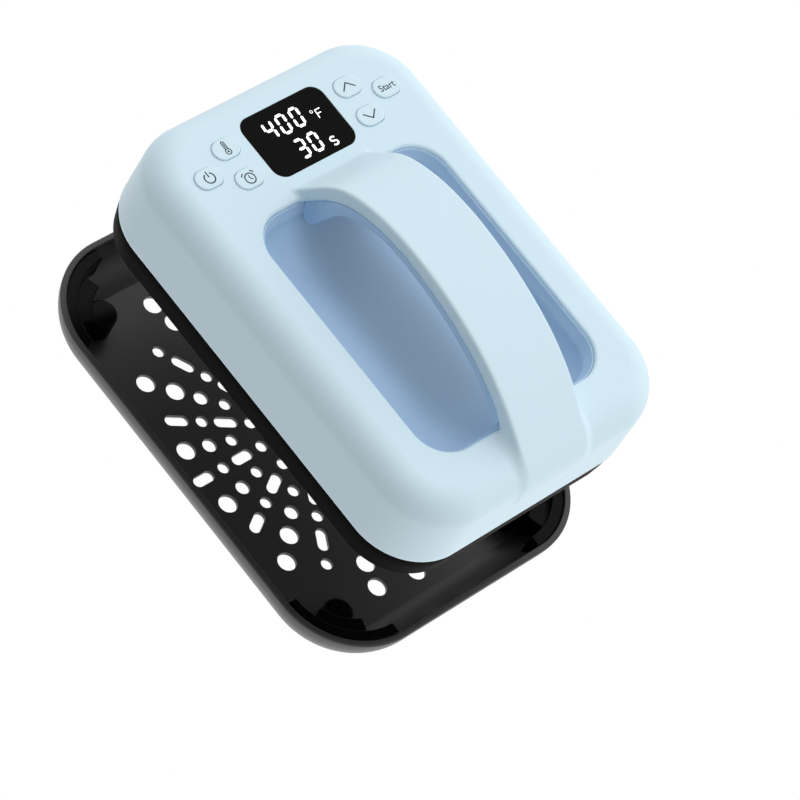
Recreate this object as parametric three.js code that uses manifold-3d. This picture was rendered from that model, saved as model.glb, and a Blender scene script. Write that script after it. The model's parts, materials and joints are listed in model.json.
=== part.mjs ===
// Flat-plate heat press for crafts, with the tray that it is stood in.
// Millimetres, +Z up. +X is the user's right, +Y the display end, -Y the user's side.
// The origin is on the table, under the middle of the tray. The press is drawn
// lifted straight up above its tray, and comes down along Z to rest in it.
import * as THREE from "three";
import { mergeVertices } from "three/addons/utils/BufferGeometryUtils.js";
import Module from "manifold-3d";

const wasm = await Module();
wasm.setup();

// ---------------------------------------------------------------- dimensions
const GAP = 0.3;                 // clearance between neighbouring pieces

// tray: half sizes in x and y, corner radius, height
const RIM_A = 127.8, RIM_B = 172.6, RIM_R = 61.5, RIM_Z = 42.7;
const RIM_T = 4.4;               // width of the flat top of the rim
const BOWL = 45;                 // the wall follows a quarter ellipse, this wide, and then runs straight to the floor
const FLOOR_Z0 = 1.5, FLOOR_Z1 = 5.5;
const POCKET_Z = 2.5;            // roof of the pockets that the feet sit in, under the floor
const GUIDE_R = 48.4, GUIDE_Z = 40.7;   // corner supports: the press rests on the tops of these
const STEP_R = 36.2, STEP_Z = 35;
const POST_X = 83.8, POST_Y = 130.8, POST_R = 10.8, POST_Z = 25.5;
const FOOT_X = 79.5, FOOT_Y = 126, FOOT_R = 8.5;

// perforation: rings round the middle of the floor, a spoke every 15 degrees
const RING = [0, 36.3, 54.3, 71.7, 89.7, 108.6, 130, 111.1];
const HOLE_S = 4.25, HOLE_M = 5.1, HOLE_L = 6.8, SLOT_W = 4.1, SLOT_H = 4.6;

// press: pale shell, black skirt, plate
const SKIRT_Z0 = 124.5, SHELL_Z0 = 146.4, TOP_Z = 209.8;
const SHELL_A = 117.9, SHELL_B = 165, SHELL_R = 47.8, SHELL_DRAFT = 0.6;
const SHELL_FILLET = 21.5, WALL = 3.0;
const SKIRT_A = 114.8, SKIRT_B = 162, SKIRT_R = 45.2;
const PLATE_A = 103, PLATE_B = 152.5, PLATE_R = 46, PLATE_Z0 = 122.0, PLATE_Z1 = 129.5;

// hand recess in the top, and the handle that bridges it lengthwise
const WELL_A = 80, WELL_Y0 = -124.5, WELL_Y1 = 74, WELL_R = 26, TUB_Z = 163.5;
const HANDLE_TOP = [[84, 207.5], [78, 216.3], [72, 225], [66, 233.6], [60, 241], [55, 245.2], [50, 248.2],
  [45, 250.8], [40, 253], [30, 256.5], [20, 258.9], [10, 260.5], [0, 261.4], [-10, 261.8], [-20, 261.6],
  [-30, 261.1], [-40, 260.1], [-50, 258.7], [-60, 256.9], [-70, 254.7], [-80, 252], [-90, 248.9],
  [-100, 245.1], [-108, 241.4], [-118, 236.2], [-128, 230], [-138, 222.8], [-148, 215.1], [-156, 208.4],
  [-160.5, 200]];
const HANDLE_HALF = [[84, 34], [74, 31.5], [60, 30.2], [44, 30], [-118, 30], [-133, 29.7], [-148, 29.3],
  [-161, 28.4]];
const SEAM = [[84, 200], [78, 203], [72, 208.5], [66, 217.5], [59, 227], [50, 235.8], [40, 242.2], [30, 246],
  [20, 248.8], [10, 250.8], [0, 251.9], [-10, 252.4], [-20, 252], [-30, 251.2], [-40, 250.1], [-50, 248.8],
  [-60, 247.1], [-70, 244.6], [-80, 241.7], [-90, 238.2], [-100, 234], [-110, 229], [-120, 222.5], [-130, 212],
  [-150, 204], [-161, 190]];

// display and keys on the top face
const DISP_A = 36.5, DISP_B = 24.65, DISP_R = 9.5, DISP_Y = 116.3;
const KEY_X1 = 55.2, KEY_X2 = 80.7, KEY_YU = 128.3, KEY_YM = 115.7, KEY_YL = 103.2;
const KEY_A = 11.1, KEY_B = 7.7, KEY_TOP = TOP_Z + 1.1;
const PCB_Z0 = 192.4, PCB_Z1 = 194.0;

// --------------------------------------------------------------------- tools
const interp = (tab, y) => {
  for (let i = 1; i < tab.length; i++) {
    const [y0, v0] = tab[i - 1], [y1, v1] = tab[i];
    if (y <= y0 && y >= y1) return v0 + (v1 - v0) * (y - y0) / (y1 - y0);
  }
  return y > tab[0][0] ? tab[0][1] : tab[tab.length - 1][1];
};
// rounded rectangle, counter-clockwise, n steps on each corner
const rrect = (a, b, r, n = 7, cx = 0, cy = 0) => {
  const p = [];
  for (const [sx, sy, a0] of [[1, -1, -90], [1, 1, 0], [-1, 1, 90], [-1, -1, 180]])
    for (let i = 0; i <= n; i++) {
      const t = (a0 + 90 * i / n) * Math.PI / 180;
      p.push([cx + sx * (a - r) + r * Math.cos(t), cy + sy * (b - r) + r * Math.sin(t)]);
    }
  return p;
};
const circle = (r, n = 12, cx = 0, cy = 0, t0 = 0) => Array.from({ length: n }, (_, i) => {
  const t = t0 + 2 * Math.PI * i / n;
  return [cx + r * Math.cos(t), cy + r * Math.sin(t)];
});
const pill = (a, b, n, cx, cy, ang = 0) => {
  const p = [], c = Math.cos(ang), s = Math.sin(ang);
  for (const [sx, a0] of [[1, -90], [-1, 90]])
    for (let i = 0; i <= n; i++) {
      const t = (a0 + 180 * i / n) * Math.PI / 180;
      const x = sx * (a - b) + b * Math.cos(t), y = b * Math.sin(t);
      p.push([cx + x * c - y * s, cy + x * s + y * c]);
    }
  return p;
};
// closed mesh through rings of equal count; flat caps triangulated in (u, v)
const loft = (rings, uv = (p) => [p[0], p[1]]) => {
  const n = rings[0].length, pos = [], idx = [];
  rings.forEach((r) => r.forEach((p) => pos.push(...p)));
  for (let k = 0; k + 1 < rings.length; k++)
    for (let i = 0; i < n; i++) {
      const j = (i + 1) % n, a = k * n + i, b = k * n + j, c = a + n, d = b + n;
      idx.push(a, b, d, a, d, c);
    }
  const area = THREE.ShapeUtils.area(rings[0].map((p) => new THREE.Vector2(...uv(p))));
  const cap = (k, flip) => {
    const c2 = rings[k].map((p) => new THREE.Vector2(...uv(p)));
    for (const [a, b, c] of THREE.ShapeUtils.triangulateShape(c2, []))
      flip ? idx.push(k * n + a, k * n + c, k * n + b) : idx.push(k * n + a, k * n + b, k * n + c);
  };
  cap(0, area > 0);
  cap(rings.length - 1, area < 0);
  const g = new THREE.BufferGeometry();
  g.setAttribute("position", new THREE.Float32BufferAttribute(pos, 3));
  g.setIndex(idx);
  return outward(g);
};
const volume = (g) => {
  const p = g.attributes.position, ix = g.index; let v = 0;
  const a = new THREE.Vector3(), b = new THREE.Vector3(), c = new THREE.Vector3();
  for (let i = 0; i < ix.count; i += 3) {
    a.fromBufferAttribute(p, ix.getX(i)); b.fromBufferAttribute(p, ix.getX(i + 1)); c.fromBufferAttribute(p, ix.getX(i + 2));
    v += a.dot(b.cross(c)) / 6;
  }
  return v;
};
const outward = (g) => {
  if (volume(g) < 0) {
    const ix = Array.from(g.index.array);
    for (let i = 0; i < ix.length; i += 3) [ix[i + 1], ix[i + 2]] = [ix[i + 2], ix[i + 1]];
    g.setIndex(ix);
  }
  return g;
};
const prism = (pts, z0, z1) => loft([pts.map(([x, y]) => [x, y, z0]), pts.map(([x, y]) => [x, y, z1])]);
const stack = (list) => loft(list.map(([pts, z]) => pts.map(([x, y]) => [x, y, z])));
const box = (x0, x1, y0, y1, z0, z1) => prism([[x0, y0], [x1, y0], [x1, y1], [x0, y1]], z0, z1);
// geometry <-> solid
const M = (g) => {
  g = g.clone(); g.deleteAttribute("normal"); g.deleteAttribute("uv");
  g = mergeVertices(g, 1e-5);
  return new wasm.Manifold(new wasm.Mesh({
    numProp: 3, vertProperties: Float32Array.from(g.attributes.position.array), triVerts: Uint32Array.from(g.index.array),
  }));
};
const G = (m) => {
  const q = m.getMesh(), g = new THREE.BufferGeometry(), s = q.numProp, n = q.vertProperties.length / s;
  const pos = new Float32Array(n * 3);
  for (let i = 0; i < n; i++) for (let k = 0; k < 3; k++) pos[3 * i + k] = q.vertProperties[s * i + k];
  g.setAttribute("position", new THREE.BufferAttribute(pos, 3));
  g.setIndex(Array.from(q.triVerts));
  return g;
};
const mat = (color, roughness, metalness = 0) => new THREE.MeshStandardMaterial({ color, roughness, metalness });
const PALE = mat(0xd3e9f5, 0.45), BLUE = mat(0x7e9cc8, 0.5), BLACK = mat(0x141414, 0.4), TRAY = mat(0x303030, 0.5);
const GLOSS = mat(0x0c0c0c, 0.15), ALU = mat(0xb8bcc0, 0.35, 1), STEEL = mat(0xc8ccd0, 0.3, 1), PCB = mat(0x1f6b3c, 0.5);
const PAD = mat(0xe8e2d2, 0.95), MICA = mat(0xa98f63, 0.6), RUBBER = mat(0x1a1a1a, 0.9), CHIP = mat(0x1c1c1f, 0.5);
const WHITE = mat(0xe9e9e4, 0.5), BRASS = mat(0xc9a24a, 0.3, 1);

const press = new THREE.Group();
export const heatPress = new THREE.Group();
heatPress.add(press);
const put = (name, g, m, to = press) => {
  const mesh = new THREE.Mesh(g instanceof THREE.BufferGeometry ? g : G(g), m);
  mesh.name = name;
  to.add(mesh);
};
const CORNERS = [["front_left", -1, -1], ["front_right", 1, -1], ["rear_right", 1, 1], ["rear_left", -1, 1]];
const flipTo = (pts, sx, sy) => pts.map(([x, y]) => [x * sx, y * sy]);

// ---------------------------------------------------------------------- tray
{
  const N = 7;
  const inset = (d) => rrect(RIM_A - d, RIM_B - d, RIM_R - d, N);
  const arc = (degs, width, drop, d) => degs.map((deg) => {
    const t = deg * Math.PI / 180;
    return [inset(BOWL - width * Math.cos(t) + d), RIM_Z - drop * Math.sin(t)];
  });
  const outer = stack([[inset(27), FLOOR_Z0], ...arc([45, 30, 15], BOWL, RIM_Z - FLOOR_Z0, 0),
    [inset(0), RIM_Z - 0.7], [inset(0.6), RIM_Z]]);
  const inside = (d, top) => stack([[inset(27.5 + d), FLOOR_Z1 + d],
    ...arc([45, 30, 15, 0], BOWL - RIM_T, RIM_Z - FLOOR_Z1, d), [inset(RIM_T + d), top]]);
  let tray = M(outer).subtract(M(inside(0, RIM_Z + 1)));
  // holes and slots, spoke by spoke
  const cuts = [];
  const hole = (r, ring, deg) => {
    const t = deg * Math.PI / 180;
    cuts.push(prism(circle(r, 8, RING[ring] * Math.cos(t), RING[ring] * Math.sin(t), t), 1, 7));
  };
  const slot = (ring, deg) => {
    const t = deg * Math.PI / 180;
    cuts.push(prism(pill(SLOT_H + SLOT_W, SLOT_W, 4, RING[ring] * Math.cos(t), RING[ring] * Math.sin(t), t), 1, 7));
  };
  for (let k = 0; k < 24; k++) {
    const deg = k * 15, q = Math.abs(90 - Math.abs(deg > 180 ? 360 - deg : deg)); // 90 = along x, 0 = along y
    const a = 90 - q;                                                           // 0 = along x, 90 = along y
    if (a % 30 === 0) {
      hole(HOLE_S, 1, deg); slot(2, deg); hole(HOLE_S, 3, deg); slot(4, deg);
      if (a >= 60) hole(HOLE_S, 5, deg);
      if (a === 90) hole(HOLE_L, 6, deg);
    } else {
      hole(HOLE_S, 2, deg); hole(HOLE_M, 3, deg); hole(HOLE_L, 4, deg);
      if (a >= 45) hole(HOLE_L, 7, deg);
      if (a === 75) hole(HOLE_L, 6, deg);
    }
  }
  for (const [, sx, sy] of CORNERS) cuts.push(prism(circle(2.4, 8, sx * FOOT_X, sy * FOOT_Y), 1, 7),
    prism(circle(FOOT_R + 0.5, 14, sx * FOOT_X, sy * FOOT_Y), 1, POCKET_Z));
  for (const c of cuts) tray = tray.subtract(M(c));
  put("base_tray", tray, TRAY, heatPress);

  // stepped corner supports: guide, lower step, post
  const cavity = M(inside(0.35, RIM_Z + 1));
  const cx = RIM_A - RIM_R, cy = RIM_B - RIM_R;
  const sector = (r0, r1, half0, half1, n) => {
    const p = [];
    for (const [r, half, order] of [[r1, half1, 1], [r0, half0, -1]]) {
      for (let i = 0; i <= n; i++) {
        const t = (45 + order * half * (2 * i / n - 1)) * Math.PI / 180;
        p.push([cx + r * Math.cos(t), cy + r * Math.sin(t)]);
      }
    }
    return p;
  };
  for (const [name, sx, sy] of CORNERS) {
    const f = (p) => { const q = flipTo(p, sx, sy); return sx * sy < 0 ? q.reverse() : q; };
    const s = M(prism(f(sector(GUIDE_R, RIM_R, 44.5, 44.5, 8)), FLOOR_Z1 + 0.3, GUIDE_Z))
      .add(M(prism(f(sector(STEP_R, GUIDE_R + 0.6, 21, 27, 5)), FLOOR_Z1 + 0.3, STEP_Z)))
      .add(M(prism(circle(POST_R, 12, sx * POST_X, sy * POST_Y), FLOOR_Z1 + 0.3, POST_Z)))
      .intersect(cavity)
      .subtract(M(prism(circle(2.0, 8, sx * FOOT_X, sy * FOOT_Y), 0, 15.5)));
    put("corner_support_" + name, s, GLOSS, heatPress);
    put("rubber_foot_" + name, M(prism(circle(FOOT_R, 14, sx * FOOT_X, sy * FOOT_Y), 0, POCKET_Z - GAP))
      .subtract(M(prism(circle(4, 10, sx * FOOT_X, sy * FOOT_Y), -1, 3))), RUBBER, heatPress);
    put("support_screw_" + name, M(prism(circle(3.2, 8, sx * FOOT_X, sy * FOOT_Y), 0.7, POCKET_Z - GAP))
      .add(M(prism(circle(1.6, 8, sx * FOOT_X, sy * FOOT_Y), 0.8, 14.5))), STEEL, heatPress);
  }
}

// -------------------------------------------------------------- press: shell
const BOSS_X = 95.4, BOSS_Y = 142.4, BOSS_R = 4.2;
const STUD_X = 78, STUD_Y = 118;
const INLET_X = 62, INLET_Z = 168;
const PEGS = [[-86, 130], [86, 130], [-86, 99.5], [86, 99.5]];
const keys = [["button_temperature", -KEY_X1, KEY_YU], ["button_power", -KEY_X2, KEY_YM], ["button_timer", -KEY_X1, KEY_YL],
  ["button_up", KEY_X1, KEY_YU], ["button_start", KEY_X2, KEY_YM], ["button_down", KEY_X1, KEY_YL]];
const ystations = [84, 78, 73, 69.6, 66, 61, 55, 49, 44, 36, 28, 20, 9, -10, -30, -50, -66, -82, -99, -112, -121.5, -130, -141, -151, -157, -160.5];
{
  const N = 8;
  const dome = (d, z0, r, top) => {
    const list = [[rrect(SHELL_A - d, SHELL_B - d, SHELL_R - d, N), z0],
      [rrect(SHELL_A - SHELL_DRAFT - d, SHELL_B - SHELL_DRAFT - d, SHELL_R - SHELL_DRAFT - d, N), top - r]];
    for (let i = 1; i <= 5; i++) {
      const t = i * 18 * Math.PI / 180, k = SHELL_DRAFT + d + r * (1 - Math.cos(t));
      list.push([rrect(SHELL_A - k, SHELL_B - k, SHELL_R - k, N), top - r + r * Math.sin(t)]);
    }
    return stack(list);
  };
  let shell = M(dome(0, SHELL_Z0, SHELL_FILLET, TOP_Z))
    .subtract(M(dome(WALL, SHELL_Z0 - 5, SHELL_FILLET - WALL, TOP_Z - WALL)));
  // recess opening, with the handle's upper half carried across it
  const wy = (WELL_Y0 + WELL_Y1) / 2, wb = (WELL_Y1 - WELL_Y0) / 2;
  shell = shell.subtract(M(prism(rrect(WELL_A, wb, WELL_R, 6, 0, wy), TOP_Z - 8, TOP_Z + 5)));
  // height of the shell's own surface along the middle line
  const shellZ = (y) => {
    const e = SHELL_B - SHELL_DRAFT - Math.abs(y);
    return e >= SHELL_FILLET ? TOP_Z : TOP_Z - SHELL_FILLET + SHELL_FILLET * Math.sin(Math.acos(Math.min(1, 1 - e / SHELL_FILLET)));
  };
  const over = (y) => y > WELL_Y1 - 0.6 || y < WELL_Y0 + 0.6;
  const outerU = ystations.map((y) => {
    const h = interp(HANDLE_HALF, y), zt = Math.max(interp(HANDLE_TOP, y), shellZ(y) - 1);
    const zs = over(y) ? Math.min(shellZ(y) - 1.4, zt - 0.5) : Math.min(interp(SEAM, y), zt - 5);
    const c = Math.min(1, (zt - zs) / 5);
    return [[-h, y, zs], [-h, y, zt - 3.2 * c], [-h + 1.3, y, zt - 1.1 * c], [-h + 4.5, y, zt - 0.2 * c], [0, y, zt + 0.2],
      [h - 4.5, y, zt - 0.2 * c], [h - 1.3, y, zt - 1.1 * c], [h, y, zt - 3.2 * c], [h, y, zs]];
  });
  const innerU = ystations.filter((y) => y <= 61 && y >= -112).map((y) => {
    const h = interp(HANDLE_HALF, y) - 3, zt = interp(HANDLE_TOP, y) - 3.2, zs = Math.min(interp(SEAM, y), interp(HANDLE_TOP, y) - 5) - 2;
    return [[-h, y, zs], [-h, y, zt - 0.6], [0, y, zt], [h, y, zt - 0.6], [h, y, zs]];
  });
  const xz = (p) => [p[0], p[2]];
  let arch = M(loft(outerU, xz)).subtract(M(loft(innerU, xz)));
  // posts inside the arch that the handle screws bite into
  for (const y of [20, -82]) arch = arch.add(M(prism(circle(4, 10, 0, y), Math.max(interp(SEAM, y - 4), interp(SEAM, y + 4)), interp(HANDLE_TOP, y) - 2)))
    .subtract(M(prism(circle(1.9, 8, 0, y), interp(SEAM, y) - 1, interp(SEAM, y) + 7)));
  shell = shell.add(arch);
  // display opening and key openings
  shell = shell.subtract(M(prism(rrect(DISP_A + GAP, DISP_B + GAP, DISP_R + GAP, 5, 0, DISP_Y), TOP_Z - 8, TOP_Z + 5)));
  for (const [, x, y] of keys) shell = shell.subtract(M(prism(pill(KEY_A + 0.4, KEY_B + 0.4, 7, x, y), TOP_Z - 8, TOP_Z + 5)));
  // screw bosses in the four corners, tied to the wall by a web
  for (const [, sx, sy] of CORNERS) {
    const d = [sx * Math.SQRT1_2, sy * Math.SQRT1_2], n = [-d[1], d[0]];
    const at = (u, v) => [sx * BOSS_X + d[0] * u + n[0] * v, sy * BOSS_Y + d[1] * u + n[1] * v];
    shell = shell.add(M(prism(circle(BOSS_R, 10, sx * BOSS_X, sy * BOSS_Y), 128.6, 172)))
      .add(M(prism([at(0, -1.2), at(9.4, -1.2), at(9.4, 1.2), at(0, 1.2)], SHELL_Z0 + 1, 171.5)))
      .subtract(M(prism(circle(1.9, 8, sx * BOSS_X, sy * BOSS_Y), 120, 143)));
  }
  // pegs under the top face that the key board is staked on
  for (const [x, y] of PEGS) shell = shell.add(M(prism(circle(2.6, 8, x, y), PCB_Z1 + GAP, TOP_Z - 2)))
    .add(M(prism(circle(1.2, 8, x, y), PCB_Z0 - 1, PCB_Z1 + 1)));
  // cord inlet hole through the rear wall
  shell = shell.subtract(M(turned(circle(8.4, 12), 155, 172)));
  put("top_housing", shell, PALE);

  // lower half of the handle: shallow channel that closes the arch, with a foot at the rear
  const st = [68.2, 66, 61, 55, 49, 44, 36, 28, 20, 9, -10, -30, -50, -66, -82, -99, -112, -121.5];
  const LOW = [[73, 199], [70, 193.5], [66, 191.5], [61, 194.5], [55, 207], [49, 221], [44, 228.5], [36, 233.5], [28, 238.5], [20, 241.6], [9, 244.4],
    [-10, 245.8], [-30, 244.8], [-50, 242.2], [-66, 238.9], [-82, 234.2], [-90, 231], [-99, 227], [-112, 220], [-121.5, 213]];
  const under = st.map((y) => {
    const h = interp(HANDLE_HALF, y) - (y > 60 ? 2.2 : 0.4), zs = interp(SEAM, y) - GAP, zl = interp(LOW, y);
    const zm = Math.max(zl + 1.5, zs - 3.5);
    return [[-h, y, zs], [-h, y, zm], [-h + 3.5, y, zl + (zm - zl) * 0.35], [-h + 10, y, zl], [h - 10, y, zl], [h - 3.5, y, zl + (zm - zl) * 0.35], [h, y, zm], [h, y, zs]];
  });
  let grip = M(loft(under, xz));
  for (const y of [20, -82]) grip = grip.subtract(M(prism(circle(3.6, 8, 0, y), 225, interp(SEAM, y) - 3.2)))
    .subtract(M(prism(circle(1.9, 8, 0, y), 225, 262)));
  put("handle_underside", grip, BLUE);
  for (const [name, y] of [["handle_screw_rear", 20], ["handle_screw_front", -82]]) {
    const z = interp(SEAM, y) - 3.2 - GAP;
    put(name, M(prism(circle(3.2, 8, 0, y), z - 2.2, z)).add(M(prism(circle(1.5, 8, 0, y), z - 1, z + 9))), STEEL);
  }

  // tub that lines the recess
  const well = (off) => rrect(WELL_A - off, wb - off, Math.max(WELL_R - off * 0.75, 5), 6, 0, wy);
  const tub = (d, z0, top) => stack([[well(35.5 + d), z0], [well(21 + d), z0 + 3.4], [well(11.6 + d), z0 + 10.2],
    [well(5 + d), 183.5], [well(1.8 + d), 198], [well(0.3 + d), top]]);
  const liner = M(tub(0, TUB_Z - 2.2, TOP_Z - WALL - GAP))
    .add(M(prism(rrect(WELL_A + 5, wb + 5, WELL_R + 5, 6, 0, wy), TOP_Z - WALL - GAP - 2, TOP_Z - WALL - GAP)))
    .subtract(M(tub(2.2, TUB_Z, TOP_Z + 1)));
  put("recess_tub", liner, BLUE);
}
// prism along +Y about the cord inlet's axis
function turned(pts, y0, y1, dx = INLET_X, dz = INLET_Z) {
  return loft([pts.map(([u, v]) => [dx + u, y0, dz + v]), pts.map(([u, v]) => [dx + u, y1, dz + v])], (p) => [p[0], p[2]]);
}

// --------------------------------------------------- press: display and keys
put("display_window", prism(rrect(DISP_A, DISP_B, DISP_R, 5, 0, DISP_Y), TOP_Z - WALL, TOP_Z + 0.05), GLOSS);
put("display_module", prism(rrect(33, 22, 1.5, 2, 0, DISP_Y), 198.5, TOP_Z - WALL - GAP), CHIP);
let board = M(prism(rrect(96, 22.5, 4, 3, 0, 116), PCB_Z0, PCB_Z1)).add(M(box(-20, 20, 98, 106, PCB_Z1 - 0.5, 197.6)));
for (const [x, y] of PEGS) board = board.subtract(M(prism(circle(1.6, 8, x, y), PCB_Z0 - 1, PCB_Z1 + 1)));
put("control_board", board, PCB);
for (const [name, x, y] of keys) {
  put(name, M(stack([[pill(KEY_A, KEY_B, 7, x, y), 204.4], [pill(KEY_A, KEY_B, 7, x, y), KEY_TOP - 0.5], [pill(KEY_A - 0.5, KEY_B - 0.5, 7, x, y), KEY_TOP]]))
    .add(M(prism(pill(KEY_A + 1.4, KEY_B + 1.4, 7, x, y), 203.4, 205.2)))
    .add(M(prism(circle(2.6, 8, x, y), 199.2, 204))), PALE);
  put(name.replace("button", "switch"), M(box(x - 3, x + 3, y - 3, y + 3, PCB_Z1 + GAP, 197.6)).add(M(prism(circle(1.6, 8, x, y), 197, 198.1))), CHIP);
}

// ---------------------------------------------- press: skirt, plate, heating
{
  const N = 8;
  let skirt = M(stack([[rrect(SKIRT_A, SKIRT_B, SKIRT_R, N), SKIRT_Z0], [rrect(SHELL_A - 0.3, SHELL_B - 0.3, SHELL_R - 0.3, N), SHELL_Z0 - GAP]]))
    .subtract(M(prism(rrect(PLATE_A + 1.6, PLATE_B + 1.6, PLATE_R + 1.5, N), 120, 150)))
    .subtract(M(prism(rrect(SKIRT_A - 3, SKIRT_B - 3, SKIRT_R - 3, N), SKIRT_Z0 + 3.8, 150)));
  for (const [name, sx, sy] of CORNERS) {
    skirt = skirt.subtract(M(prism(circle(1.9, 8, sx * BOSS_X, sy * BOSS_Y), 120, 130)))
      .subtract(M(prism(circle(3.5, 10, sx * BOSS_X, sy * BOSS_Y), 120, SKIRT_Z0 + 1.9)));
    put("housing_screw_" + name, M(prism(circle(3.1, 8, sx * BOSS_X, sy * BOSS_Y), SKIRT_Z0 + 0.2, SKIRT_Z0 + 1.6))
      .add(M(prism(circle(1.5, 8, sx * BOSS_X, sy * BOSS_Y), SKIRT_Z0 + 1, 141))), STEEL);
  }
  put("base_skirt", skirt, BLACK);
  put("heat_plate", stack([[rrect(PLATE_A - 1.2, PLATE_B - 1.2, PLATE_R - 1.2, N), PLATE_Z0], [rrect(PLATE_A, PLATE_B, PLATE_R, N), PLATE_Z0 + 1.2],
    [rrect(PLATE_A, PLATE_B, PLATE_R, N), PLATE_Z1]]), ALU);
  // flat heating coil: a serpentine strip, then insulation and a steel shield
  const legs = 7, w = 16, pitch = 27, x0 = -pitch * (legs - 1) / 2, yb = 100;
  let coil = M(box(x0 - w / 2, x0 + w / 2, -yb, yb, 129.8, 131.6));
  for (let i = 1; i < legs; i++) {
    const x = x0 + i * pitch, s = i % 2 ? 1 : -1;
    coil = coil.add(M(box(x - w / 2, x + w / 2, -yb, yb, 129.8, 131.6)))
      .add(M(box(x - pitch - w / 2, x + w / 2, s * yb - 8, s * yb + 8, 129.8, 131.6)));
  }
  put("heating_element", coil, MICA);
  const sheet = (a, b, r, z0, z1) => {
    let m = M(prism(rrect(a, b, r, 5), z0, z1));
    for (const [, sx, sy] of CORNERS) m = m.subtract(M(prism(circle(5.6, 8, sx * STUD_X, sy * STUD_Y), z0 - 1, z1 + 1)));
    return m;
  };
  put("insulation_pad", sheet(99, 146, 42, 132, 138), PAD);
  put("heat_shield", sheet(101, 148, 44, 138.4, 139.4), STEEL);
  for (const [name, sx, sy] of CORNERS)
    put("plate_standoff_" + name, prism(circle(5, 6, sx * STUD_X, sy * STUD_Y), PLATE_Z1 + GAP, 146.1), BRASS);
  // frame that the plate hangs from, resting on the skirt's rim, with spacers for the power board
  let frame = M(box(-113, 113, STUD_Y - 8, STUD_Y + 8, 146.4, 148.4)).add(M(box(-113, 113, -STUD_Y - 8, -STUD_Y + 8, 146.4, 148.4)))
    .add(M(box(-86, -70, -STUD_Y, STUD_Y, 146.4, 148.4))).add(M(box(70, 86, -STUD_Y, STUD_Y, 146.4, 148.4)));
  for (const [x, y] of [[-76, 92], [-76, 121], [16, 118]]) frame = frame.add(M(prism(circle(3, 8, x, y), 147.4, 151.7)));
  put("mounting_frame", frame, STEEL);
  put("temperature_sensor", M(turnedX([[-2.2, 0], [-1.1, -1.9], [1.1, -1.9], [2.2, 0], [1.1, 1.9], [-1.1, 1.9]], -12, 12, 141.6, -20)), WHITE);
  put("thermal_fuse", M(turnedX([[-2.8, 0], [-1.4, -2.4], [1.4, -2.4], [2.8, 0], [1.4, 2.4], [-1.4, 2.4]], -9, 9, 142.1, 20)), BRASS);
}
// short hexagonal rod along X at height z and depth y
function turnedX(pts, x0, x1, z, y) {
  return loft([pts.map(([u, v]) => [x0, y + u, z + v]), pts.map(([u, v]) => [x1, y + u, z + v])], (p) => [p[1], p[2]]);
}

// -------------------------------------------------------- press: electronics
put("power_board", prism(rrect(52, 33, 3, 2, -30, 118), 152, 153.6), PCB);
put("relay", box(-70, -50, 108, 124, 153.9, 169), CHIP);
put("triac_heatsink", M(box(-42, -8, 100, 104, 153.9, 174)).add(M(box(-42, -38, 100, 116, 153.9, 174))).add(M(box(-27, -23, 100, 116, 153.9, 174))).add(M(box(-12, -8, 100, 116, 153.9, 174))), ALU);
put("terminal_block", box(38, 58, 112, 124, 148.7, 160.7), WHITE);
put("wireless_module", M(box(52, 76, 98, 114, 190.5, 192.1)).add(M(box(54, 68, 100, 112, 188.5, 190.8))), PCB);
put("buzzer", prism(circle(6, 12, 30, 126), 184.5, 192), CHIP);
put("cord_inlet", M(turned(circle(8, 12), 157, 165.6)).add(M(turned(circle(11, 14), 165.4, 169.4))).subtract(M(turned(circle(4.2, 10), 150, 175))), BLACK);

export default heatPress;
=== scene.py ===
import bmesh
import bpy
import json
import math
import numpy as np
from mathutils import Matrix, Vector
from mathutils.geometry import delaunay_2d_cdt


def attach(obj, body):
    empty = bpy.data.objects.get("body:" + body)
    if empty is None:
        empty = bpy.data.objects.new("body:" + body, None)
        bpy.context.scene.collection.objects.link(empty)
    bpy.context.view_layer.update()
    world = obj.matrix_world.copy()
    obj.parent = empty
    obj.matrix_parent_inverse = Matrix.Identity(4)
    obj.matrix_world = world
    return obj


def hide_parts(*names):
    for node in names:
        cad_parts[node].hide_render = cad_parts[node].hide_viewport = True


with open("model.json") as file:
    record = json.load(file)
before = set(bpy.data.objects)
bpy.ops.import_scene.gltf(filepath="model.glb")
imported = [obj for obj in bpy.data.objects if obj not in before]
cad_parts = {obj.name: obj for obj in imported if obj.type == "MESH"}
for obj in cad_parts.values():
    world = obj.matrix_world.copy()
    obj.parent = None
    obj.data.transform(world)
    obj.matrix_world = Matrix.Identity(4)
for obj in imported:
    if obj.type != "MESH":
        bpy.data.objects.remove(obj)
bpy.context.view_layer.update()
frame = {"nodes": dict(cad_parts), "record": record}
MM = 0.001

# ------------------------------------------------------------------ dimensions (mm, as in the CAD)
RIM_A, RIM_B, RIM_R, RIM_Z, RIM_T, BOWL = 127.8, 172.6, 61.5, 42.7, 4.4, 45.0
FLOOR_Z0, FLOOR_Z1 = 1.5, 5.5
GUIDE_R, GUIDE_Z, STEP_R, STEP_Z = 48.4, 40.7, 36.2, 35.0
POST_X, POST_Y, POST_R, POST_Z = 83.8, 130.8, 10.8, 25.5
FOOT_X, FOOT_Y, FOOT_R = 79.5, 126.0, 8.5
RING = [0, 36.3, 54.3, 71.7, 89.9, 108.6, 130.0, 111.1]
SKIRT_Z0, SHELL_Z0, TOP_Z = 124.5, 146.4, 209.8
SHELL_A, SHELL_B, SHELL_R, DRAFT, FILLET = 117.9, 165.0, 47.8, 0.6, 21.5
SKIRT_A, SKIRT_B, SKIRT_R = 114.8, 162.0, 45.2
PLATE_A, PLATE_B, PLATE_R, PLATE_Z0, PLATE_Z1 = 103.0, 152.5, 46.0, 122.0, 129.5
WELL_A, WELL_Y0, WELL_Y1, WELL_R = 80.0, -124.5, 74.0, 26.0
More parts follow.
